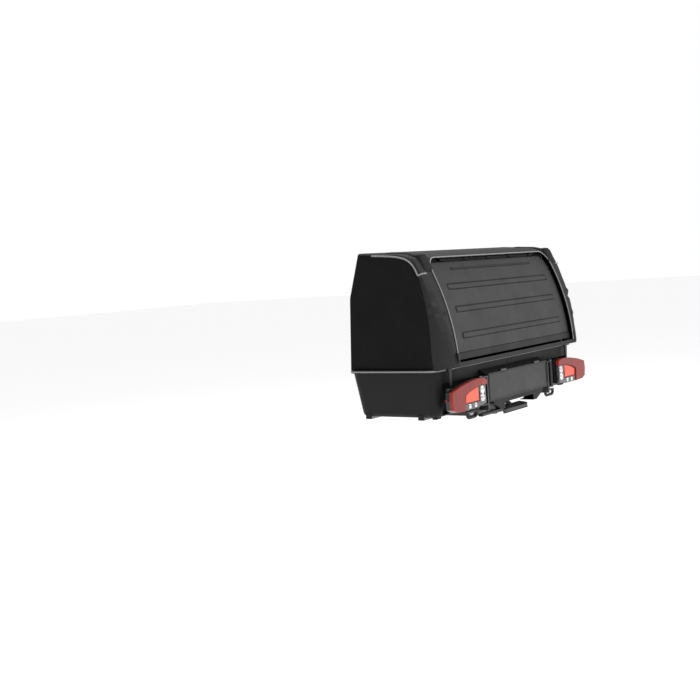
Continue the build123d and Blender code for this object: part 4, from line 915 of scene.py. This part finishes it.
class Trim:
    """Piping, straps, pads, the zip's tape and teeth, and the stitching."""

    strap_x = 0.540  # middle of each strap
    strap_wide, strap_thick = 0.038, 0.003
    pad_wide, pad_high = 0.060, 0.0138
    hook_x, hook_half = 0.520, 0.016  # the rim's welt leaves room for the hooks here
    welt_start = 0.566  # x of the side welt's end under the pad
    welt_radius = 0.0034
    tape_radius, teeth_radius = 0.9085, 0.9094  # of the rear circle, at the zip's tape and its teeth
    tooth = (0.0019, 0.0044, 0.0018)  # length, width and height
    thread = (0.0038, 0.0009, 0.0006)
    thread_pitch = 0.0056

    def __init__(self, shape: HoodShape, finishes: dict[str, bpy.types.Material]) -> None:
        """Keeps the hood's shape and the finishes."""
        self.shape, self.finishes = shape, finishes

    def opening_path(self, gap: float, radius: float, count: int = 420) -> Array:
        """A line round the door opening, from foot to foot over the top.

        Args:
            gap: how far outside the opening's edge it runs.
            radius: radius of the rear circle that it lies on.
            count: number of points.

        Returns:
            The points, evenly spread.
        """
        shape = self.shape
        half, top, r = shape.opening_half + gap, shape.header + gap, shape.opening_round + gap
        turn = np.linspace(0, math.pi / 2, 30)
        right = np.stack([half - r + r * np.cos(turn), top - r + r * np.sin(turn)], axis=1)
        foot = np.array([[half, shape.opening_low]])
        flat = resample(np.vstack([foot, right, right[::-1] * [-1, 1], foot * [-1, 1]]), count)
        return np.stack([flat[:, 0], shape.rear_y(flat[:, 1], radius), flat[:, 1]], axis=1)

    def piping(self) -> None:
        """The three pale welts: round the opening, along the roof's edges, and round the rim."""
        band = rounded_box_profile(0.0034, 0.005, 0.0014)
        path = self.opening_path(0.0035, self.shape.rear_radius + 0.0018)
        piece = swept_piece("opening_welt", [path], band, self.shape.outwards)
        place_piece(piece, "platform", self.finishes["piping"], ["opening_piping"])
        edges = [self.shoulder_path(side) for side in Side]
        piece = swept_piece("roof_edge_welt", edges, round_profile(self.welt_radius), self.edge_out)
        place_piece(piece, "platform", self.finishes["piping"], ["side_piping"])
        low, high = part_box("rim_piping")
        radius = (high.z - low.z) / 2
        ring = rounded_ring(high.x - radius, low.y + radius, high.y - radius, 0.047, (low.z + high.z) / 2)
        hook = np.abs(np.abs(ring[:, 0]) - self.hook_x) < self.hook_half
        cut = hook & (ring[:, 1] < low.y + 0.02)
        pieces = np.split(np.arange(len(ring)), np.flatnonzero(np.diff(cut.astype(int))) + 1)
        runs = [ring[run] for run in pieces if not cut[run[0]] and len(run) > 3]
        piece = swept_piece("rim_welt", runs, round_profile(radius), ring_out)
        place_piece(piece, "platform", self.finishes["piping"], ["rim_piping"])

    def edge_out(self, path: Array) -> Array:
        """Outward directions along the side welt, between the rear's and the side's."""
        return self.shape.outwards(path) + np.sign(path) * [0.5, 0, 0]

    def shoulder_path(self, side: Side) -> Array:
        """The side welt: from under the pad round the corner, up the crease and along the roof's edge."""
        line, _, crease = self.shape.part("piping", "welt_end", 260)
        inward = crease[0] - line[0]
        r = float(np.linalg.norm(inward))
        angle = np.linspace(0, math.pi / 2, 12)
        bend = line[0] + inward * (1 - np.cos(angle))[:, None]
        bend = np.column_stack([self.shape.half - r + r * np.sin(angle), bend])
        start = np.array([[self.welt_start, *line[0]]])
        path = np.vstack([start, bend, np.column_stack([np.full(259, self.shape.half), crease[1:]])])
        return softened(resample(path, 420), 13) * [side.value, 1, 1]

    def straps(self) -> None:
        """The webbing straps and the padded covers over their buckles."""
        line, normal, _ = self.shape.part("strap", "strap_end", 120)
        flat = line + normal * 0.0016
        runs = [np.column_stack([np.full(120, side.value * self.strap_x), flat]) for side in Side]
        facing = np.column_stack([np.zeros(120), normal])
        band = rounded_box_profile(self.strap_thick, self.strap_wide, 0.0012)
        piece = swept_piece("webbing_straps", runs, band, lambda path: facing)
        place_piece(piece, "platform", self.finishes["webbing"], ["corner_straps"])
        for side in Side:
            pad = self.pad(side)
            if side is Side.RIGHT:
                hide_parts("strap_buckles")

    def pad(self, side: Side) -> bpy.types.Object:
        """A padded cover: a pillow H sqrt((1 - u^6)(1 - v^8)), u and v from -1 to 1, with dips in it."""
        rows, columns, wide, high = 60, 30, self.pad_wide, self.pad_high
        line, normal, _ = self.shape.part("strap", "pad_end", rows)
        v, u = np.linspace(-1, 1, rows)[:, None], np.linspace(-1, 1, columns)[None, :]
        dip = 0.45 * bump(v, 0.0, 0.16) + 0.3 * bump(v, 0.62, 0.1)
        dip = np.clip(dip + 0.12 * smooth_noise(u * 0.3, v, 0.16, 61 + side.value), 0, 0.8)
        height = high * np.clip((1 - np.abs(u) ** 6) * (1 - np.abs(v) ** 8), 0, 1) ** 0.5 * (1 - dip)
        x = side.value * self.strap_x + u * wide / 2 * (1 - 0.06 * (np.abs(v) ** 6))

        def lifted(lift: Array) -> Array:
            """The grid at a height off the hood."""
            y, z = (line[:, k : k + 1] + normal[:, k : k + 1] * lift for k in (0, 1))
            return np.stack(np.broadcast_arrays(x, y, z), axis=2)

        points = np.concatenate([lifted(height + 0.0010), lifted(np.full_like(height, 0.0004))])
        uv = np.stack(np.broadcast_arrays(u * wide / 2, v * 0.05), axis=2)
        faces = closed_faces(rows, columns)
        piece = mesh_piece(f"buckle_pad_{side.word}", points, faces, np.concatenate([uv, uv]))
        place_piece(piece, "platform", self.finishes["pad_cover"])
        return piece

    def zip_track(self) -> None:
        """The zip's tape and teeth, behind the door's edge and showing in the gap beside it."""
        path = self.opening_path(-0.004, self.tape_radius)
        band = rounded_box_profile(0.0012, 0.026, 0.0004)
        piece = swept_piece("zip_tape", [path], band, self.shape.outwards)
        place_piece(piece, "platform", self.finishes["webbing"])
        places = resample(self.opening_path(-0.003, self.teeth_radius, 900), 760)
        piece = self.run_of_blocks("zip_teeth", places, self.tooth)
        place_piece(piece, "platform", self.finishes["trim_plastic"])

    def run_of_blocks(
        self, name: str, places: Array, size: tuple[float, float, float], out: Array | None = None
    ) -> bpy.types.Object:
        """Small blocks along a line, each turned along it and facing out.

        Args:
            name: the piece's name.
            places: the blocks' centres in order.
            size: length along the line, width across it, and height.
            out: outward directions; those of the rear circle if left out.

        Returns:
            The object.
        """
        ahead = np.gradient(places, axis=0)
        ahead /= np.linalg.norm(ahead, axis=1, keepdims=True)
        up = self.shape.outwards(places) if out is None else out
        up = up - ahead * (up * ahead).sum(axis=1, keepdims=True)
        up /= np.linalg.norm(up, axis=1, keepdims=True)
        pattern, faces = small_block(*size)
        frames = np.stack([ahead, np.cross(up, ahead), up], axis=1)
        return repeated_piece(name, pattern, faces, places, frames)

    def stitching(self) -> None:
        """Thread along the opening, the roof's edges and the straps."""
        runs = [(self.opening_path(0.0105, self.shape.rear_radius + 0.0002), None)]
        line, normal, _ = self.shape.part("strap", "strap_end", 150)
        facing = np.column_stack([np.zeros(150), normal])
        for side in Side:
            for shift in (-0.0155, 0.0155):
                flat = line + normal * (self.strap_thick + 0.0001)
                seam = np.full(150, side.value * self.strap_x + shift)
                runs.append((np.column_stack([seam, flat]), facing))
            top, top_normal, _ = self.shape.part("header", "front", 150)
            edge = np.full(150, side.value * (self.shape.half - 0.019))
            path = np.column_stack([edge, top + top_normal * 0.0002])
            runs.append((path, np.column_stack([np.zeros(150), top_normal])))
        for number, (path, out) in enumerate(runs):
            count = int(arc_lengths(path)[-1] / self.thread_pitch)
            places = resample(path, count)
            if out is not None:
                out = resample(out, count)
            piece = self.run_of_blocks(f"stitches_{number + 1}", places, self.thread, out)
            place_piece(piece, "platform", self.finishes["thread"])

    def build(self) -> None:
        """Adds all of the trim."""
        self.piping()
        self.straps()
        self.zip_track()
        self.stitching()


def rounded_ring(half: float, rear: float, front: float, corner: float, z: float) -> Array:
    """A rounded rectangle round the rim, starting and ending at the middle of the front.

    Args:
        half: half its width.
        rear: y of its rear run.
        front: y of its front run.
        corner: radius of its corners.
        z: its height.

    Returns:
        The points, evenly spread.
    """
    turn = np.linspace(0, math.pi / 2, 24)
    points = [[0.0, front]]
    for a, b in ((1, 1), (1, -1), (-1, -1), (-1, 1)):
        x, y = a * (half - corner), (front - corner if b > 0 else rear + corner)
        angle = turn if a * b < 0 else turn[::-1]
        points += np.stack([x + a * corner * np.cos(angle), y + b * corner * np.sin(angle)], axis=1).tolist()
    flat = resample(np.array(points + [[0.0, front]]), 900)
    return np.column_stack([flat, np.full(len(flat), z)])


def ring_out(path: Array) -> Array:
    """Outward direction of the rim ring: across its own run, away from the middle."""
    ahead = np.gradient(path, axis=0)
    side = np.cross(ahead, [0.0, 0.0, 1.0])
    away = path - np.array([0.0, -0.262, path[0, 2]])
    return side * np.sign((side * away).sum(axis=1, keepdims=True))


@dataclass(frozen=True)
class DoorShape:
    """The pressed door skin, laid over the door panel."""

    radius: float = 0.9174
    top: float = 0.686
    half: float = 0.507
    corner: float = 0.052
    rib_half: float = 0.432
    rib_height: float = 0.018
    rib_rise: float = 0.0029
    rib_round: float = 0.004
    rib_levels: tuple[float, ...] = (0.386, 0.491, 0.583)
    upper_groove: tuple[float, float] = (0.652, 0.345)
    skin: float = 0.0004


class Door:
    """The door's outer skin, with its long grooved ribs."""

    def __init__(
        self, hood: HoodShape, shape: DoorShape, finishes: dict[str, bpy.types.Material]
    ) -> None:
        """Keeps the shapes and the finishes."""
        self.hood, self.shape, self.finishes = hood, shape, finishes

    @staticmethod
    def stations(
        low: float, high: float, marks: Sequence[float], near: float, fine: float, coarse: float
    ) -> Array:
        """Positions close together near some marks and wide apart elsewhere.

        Args:
            low: the first position.
            high: the last.
            marks: where they crowd.
            near: how close to a mark they are at their closest.
            fine: their spacing there.
            coarse: their widest spacing.

        Returns:
            The positions in order.
        """
        spots, at = [low], low
        while at < high - fine:
            close = min(abs(at - m) for m in marks)
            at += fine if close < near else min(coarse, max(fine, close - near))
            spots.append(min(at, high))
        spots[-1] = high
        return np.array(spots)

    def height(self, x: Array, z: Array) -> Array:
        """How far the skin stands off: raised bars with a groove round each, and one short groove above.

        The distance to a rounded bar is the length of max(|p| - half size, 0), less its corner radius.

        Args:
            x: the skin's points across.
            z: their heights.

        Returns:
            The height off the smooth circle at each.
        """
        shape = self.shape
        total = np.zeros_like(x)
        for level in shape.rib_levels:
            dx = np.maximum(np.abs(x) - (shape.rib_half - shape.rib_round), 0)
            dz = np.maximum(np.abs(z - level) - (shape.rib_height / 2 - shape.rib_round), 0)
            away = np.hypot(dx, dz) - shape.rib_round
            total = total + shape.rib_rise * (1 - ramp(away, -0.0025, 0.0005))
            total = total + 0.0008 * bump(away, 0.0045, 0.003)
        level, half = shape.upper_groove
        groove = bump(z, level, 0.0022) * (1 - ramp(np.abs(x), half - 0.006, half))
        lip = bump(z, level + 0.0045, 0.004) * (1 - ramp(np.abs(x), half - 0.006, half + 0.004))
        return total + 0.0012 * lip - 0.0002 * groove + 0.0002 * smooth_noise(x, z, 0.11, 51)

    def build(self) -> None:
        """Adds the skin."""
        shape, hood = self.shape, self.hood
        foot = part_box("door_hem")[1].z
        marks = [*shape.rib_levels, shape.upper_groove[0]]
        z = self.stations(foot, shape.top, marks, 0.0145, 0.0010, 0.007)
        ends = [sign * at / shape.half for sign in (-1, 1) for at in (shape.rib_half, shape.upper_groove[1])]
        x = self.stations(-1, 1, ends, 0.02, 0.0026, 0.02)[None, :]
        up = np.clip(z - (shape.top - shape.corner), 0, shape.corner)
        wide = (shape.half - (shape.corner - np.sqrt(shape.corner**2 - up**2)))[:, None]
        plain = 0.8  # share of the half width whose columns stay straight
        outer = plain * shape.half + (np.abs(x) - plain) / (1 - plain) * (wide - plain * shape.half)
        spread = np.where(np.abs(x) > plain, np.sign(x) * outer, x * shape.half)
        rows = np.broadcast_to(z[:, None], spread.shape)
        grid = np.stack([spread, hood.rear_y(rows, shape.radius), rows], axis=2)
        edge = 1 - ramp(np.abs(x), 0.975, 1.0)
        fall = edge * (1 - ramp(rows, shape.top - 0.012, shape.top)) * ramp(rows, foot, foot + 0.008)
        grid = outward(grid, INSIDE)
        flip = grid[0, 0, 0] > 0
        height = self.height(spread, rows) * fall
        grid = raised(grid, height[:, ::-1] if flip else height)
        piece = shell_piece("door_skin", grid, shape.skin)
        place_piece(piece, "door", self.finishes["door_shell"])
        self.groove_shadows()

    def groove_shadows(self) -> None:
        """Painted shadow: dark lines round each rib and the short one above, standing for the shade in the
        skin's grooves.
        """
        shape = self.shape
        half, tall = shape.rib_half + 0.003, shape.rib_height / 2 + 0.003
        outline = rounded_outline(half, tall, 0.006, 8, (0.0, tall), 700)
        paths = [outline + np.array([0.0, level]) for level in shape.rib_levels]
        level, half = shape.upper_groove
        paths.append(np.column_stack([np.linspace(-half, half, 120), np.full(120, level)]))
        radius = shape.radius + 0.0006
        runs = [np.column_stack([p[:, 0], self.hood.rear_y(p[:, 1], radius), p[:, 1]]) for p in paths]
        band = rounded_box_profile(0.0006, 0.0032, 0.0002, 2)
        piece = swept_piece("door_groove_shadows", runs, band, self.hood.outwards)
        place_piece(piece, "door", self.finishes["door_gap_shade"])


class Lamps:
    """What shows behind and on the lamps' lenses: bowls, reflector panels and side tabs."""

    # each bowl's middle, in shares of the lamp's width and height, and its radius
    bowls = ((0.11, 0.58, 0.017), (0.11, 0.30, 0.017), (0.33, 0.115, 0.010), (0.49, 0.115, 0.010))
    bowl_depth = 0.0035
    # the reflector's corners, in the same shares
    panel = ((0.235, 0.26), (0.235, 0.715), (0.455, 0.615), (0.60, 0.495), (0.60, 0.26))
    tab_size = (0.022, 0.006, 0.004)
    tab_x, tab_z = 0.6055, 0.146

    def __init__(self, finishes: dict[str, bpy.types.Material]) -> None:
        """Keeps the finishes."""
        self.finishes = finishes

    def plate(self, name: str, outline: Array, y: float, thick: float, step: float) -> bpy.types.Object:
        """A flat plate facing the rear, with its rear edge drawn in a little.

        Args:
            name: the piece's name.
            outline: its corners, as x and z.
            y: its rear face.
            thick: its thickness.
            step: depth of the drawn-in edge.

        Returns:
            The object.
        """
        n, middle, rings = len(outline), outline.mean(axis=0), []
        for share, at in ((1.0, y + thick), (1.0, y + step), (0.97, y)):
            flat = middle + (outline - middle) * share
            rings.append(np.column_stack([flat[:, 0], np.full(n, at), flat[:, 1]]))
        points = np.concatenate(rings)
        caps = [list(range(n)), list(range(3 * n - 1, 2 * n - 1, -1))]
        faces = quads(3, n, wrap=True)[:, ::-1].tolist() + caps
        turn = np.cross(points[1] - points[0], points[2] - points[0])[1]
        faces = faces if turn > 0 else [face[::-1] for face in faces]
        return mesh_piece(name, points, faces, smooth=False)

    def bowl(self, name: str, x: float, z: float, y: float, radius: float, deep: float) -> bpy.types.Object:
        """A shallow dome that bulges to the rear: r = R cos(a), depth D sin(a).

        Args:
            name: the piece's name.
            x: its middle.
            z: its middle.
            y: its foot.
            radius: R.
            deep: D.

        Returns:
            The object.
        """
        rows, columns = 10, 36
        lift = np.linspace(0, math.pi / 2 * 0.97, rows)[:, None]
        turn = np.linspace(0, 2 * math.pi, columns + 1)[None, :-1]
        ring = radius * np.cos(lift) * np.ones_like(turn)
        back = y - deep * np.sin(lift) * np.ones_like(turn)
        points = np.stack([x + ring * np.cos(turn), back, z + ring * np.sin(turn)], axis=2)
        ends = [list(range(columns - 1, -1, -1)), list(range((rows - 1) * columns, rows * columns))]
        return mesh_piece(name, points, quads(rows, columns, wrap=True).tolist() + ends)

    def build(self, side: Side) -> None:
        """Adds one lamp's inner parts."""
        low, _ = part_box(f"lamp_housing_{side.word}")
        red_low, red_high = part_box(f"lamp_lens_red_{side.word}")
        inner = min(abs(red_low.x), abs(red_high.x))
        wide = max(abs(red_low.x), abs(red_high.x)) - inner
        tall, base = red_high.z - red_low.z, red_low.z
        clear_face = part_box(f"lamp_lens_clear_{side.word}")[0].y
        body = f"lamp_{side.word}"

        def spot(u: Array, v: Array) -> tuple[Array, Array]:
            """The place of shares of the lamp's width and height."""
            return side.value * (inner + u * wide), base + v * tall

        panel = np.column_stack(spot(*np.array(self.panel).T))
        piece = self.plate(f"reflector_panel_{side.word}", panel, red_low.y + 0.0040, 0.0016, 0.0006)
        place_piece(piece, body, self.finishes["lens_reflector"])
        pattern, faces = small_block(*self.tab_size)
        place = np.array([[side.value * self.tab_x, low.y + 0.012, self.tab_z]])
        tab = repeated_piece(f"side_tab_{side.word}", pattern, faces, place, REARWARD[None])
        place_piece(tab, body, self.finishes["lens_red"])
        for number, (u, v, radius) in enumerate(self.bowls):
            x, z = spot(u, v)
            name = f"lamp_bowl_{side.word}_{number + 1}"
            piece = self.bowl(name, x, z, clear_face + 0.0002, radius, self.bowl_depth)
            place_piece(piece, body, self.finishes["lamp_mirror"])


class Details:
    """Small pressed and moulded parts that the frame leaves plain."""

    def __init__(self, finishes: dict[str, bpy.types.Material]) -> None:
        """Keeps the finishes."""
        self.finishes = finishes

    def plate_border(self) -> None:
        """A raised border round the blank number plate."""
        low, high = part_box("number_plate")
        inset, corner, count = 0.0045, 0.009, 320
        middle = (low + high) / 2
        half, tall = (high.x - low.x) / 2 - inset, (high.z - low.z) / 2 - inset
        flat = rounded_outline(half, tall, corner, 10, (half, 0.0), count) + [middle.x, middle.z]
        path = np.column_stack([flat[:, 0], np.full(count, low.y - 0.0002), flat[:, 1]])
        out = np.tile([0.0, -1.0, 0.0], (count, 1))
        piece = swept_piece("plate_border", [path], round_profile(0.0026, 10, 0.45), lambda p: out)
        place_piece(piece, "platform", self.finishes["plate_dark"])

    def pedal_grip(self) -> None:
        """Raised bars along the pedal's rear lip."""
        low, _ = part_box("pedal")
        pattern, faces = small_block(0.020, 0.0032, 0.0012)
        x = np.arange(-3, 4) * 0.030
        n = len(x)
        places = np.stack([x, np.full(n, low.y - 0.0002), np.full(n, low.z + 0.009)], axis=1)
        piece = repeated_piece("pedal_grip_bars", pattern, faces, places, np.tile(REARWARD, (n, 1, 1)))
        place_piece(piece, "pedal", self.finishes["rubber"])

    def build(self) -> None:
        """Adds them all."""
        self.plate_border()
        self.pedal_grip()


# ------------------------------------------------------------------------------------------ studio
@dataclass(frozen=True)
class Studio:
    """The camera, the floor and the lights."""

    place: tuple[float, float, float] = (-4.131, -2.734, 0.663)
    right: tuple[float, float, float] = (0.592, -0.790, -0.070)
    down: tuple[float, float, float] = (-0.098, 0.013, -0.995)
    lens: float = 55.3
    floor_z: float = -0.42
    floor_reach: float = 40.0
    floor_glow: float = 0.40
    aim: tuple[float, float, float] = (0.0, -0.25, 0.35)
    # each light's name, place, size and power
    lights: tuple[tuple[str, tuple[float, float, float], float, float], ...] = (
        ("key", (-1.2, -3.6, 3.4), 1.8, 95),
        ("fill", (3.2, -3.4, 1.6), 3.0, 30),
        ("top", (0.2, 0.4, 3.6), 2.4, 45),
    )

    def camera(self) -> None:
        """Makes the camera: its axes are right, up and back, made square to one another."""
        data = bpy.data.cameras.new("view")
        data.lens, data.sensor_width, data.clip_end = self.lens, 36.0, 200.0
        camera = bpy.data.objects.new("view", data)
        bpy.context.scene.collection.objects.link(camera)
        right = Vector(self.right).normalized()
        up = -Vector(self.down)
        up = (up - right * up.dot(right)).normalized()
        turn = Matrix((right, up, right.cross(up))).transposed()
        camera.matrix_world = Matrix.Translation(self.place) @ turn.to_4x4()
        bpy.context.scene.camera = camera

    def floor(self) -> None:
        """A wide, pale, plain floor that glows a little, so that it meets the backdrop."""
        finish = bpy.data.materials.new("studio_floor")
        finish.use_nodes = True
        shader = finish.node_tree.nodes["Principled BSDF"]
        shader.inputs["Base Color"].default_value = (0.86, 0.86, 0.86, 1)
        shader.inputs["Roughness"].default_value = 0.9
        shader.inputs["Emission Color"].default_value = (1, 1, 1, 1)
        shader.inputs["Emission Strength"].default_value = self.floor_glow
        reach = self.floor_reach
        corners = np.array([(-a * reach, -b * reach, self.floor_z) for a, b in QUARTERS])
        piece = mesh_piece("studio_floor", corners, [[0, 1, 2, 3]])
        piece.data.materials.append(finish)

    def light(self, name: str, place: tuple, size: float, power: float) -> None:
        """A soft square light aimed at the object's middle.

        Args:
            name: its name.
            place: its centre.
            size: its side, in metres.
            power: its power, in watts.
        """
        data = bpy.data.lights.new(name, "AREA")
        data.size, data.energy = size, power
        lamp = bpy.data.objects.new(name, data)
        lamp.location = place
        lamp.rotation_euler = (Vector(self.aim) - Vector(place)).to_track_quat("-Z", "Y").to_euler()
        bpy.context.scene.collection.objects.link(lamp)

    def build(self) -> None:
        """Makes it all."""
        world = bpy.data.worlds.new("studio")
        bpy.context.scene.world = world
        world.use_nodes = True
        g = Graph(world.node_tree)
        seen = g.node("ShaderNodeLightPath").outputs["Is Camera Ray"]
        strength = g.spread(seen, 0.0, 1.0, 0.62, 1.0)  # dimmer as a light than as seen
        sky = g.node("ShaderNodeBackground", Color=(1, 1, 1, 1), Strength=strength)
        g.feed(g.node("ShaderNodeOutputWorld").inputs["Surface"], sky.outputs[0])
        bpy.context.scene.view_settings.view_transform = "Standard"
        self.floor()
        for light in self.lights:
            self.light(*light)
        self.camera()


def dress_frame(frame: dict, finishes: dict[str, bpy.types.Material]) -> None:
    """Gives every frame part its finish, from its record slot or from the exceptions.

    Args:
        finishes: materials by finish name.
    """
    for row in frame["record"]["subparts"]:
        finish = finishes[PART_FINISHES.get(row["node"], row["material_slot"])]
        mesh = frame["nodes"][row["node"]].data
        mesh.materials.clear()
        mesh.materials.append(finish)


def main() -> None:
    """Builds the visual model over the frame."""
    logging.basicConfig(level=logging.INFO, format="%(name)s: %(message)s")
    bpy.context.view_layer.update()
    groups = {
        "weave": weave_group(),
        "grain": grain_group(),
        "brushed": brushed_group(),
        "ribs": rib_group(),
    }
    finishes = {finish.name: finish.build(groups) for finish in FINISHES}
    dress_frame(FRAME, finishes)
    hood = HoodShape.measured()
    Hood(hood, finishes).build()
    Door(hood, DoorShape(), finishes).build()
    Trim(hood, finishes).build()
    lamps = Lamps(finishes)
    for side in Side:
        lamps.build(side)
    Details(finishes).build()
    Studio().build()


if __name__ == "__main__":
    main()
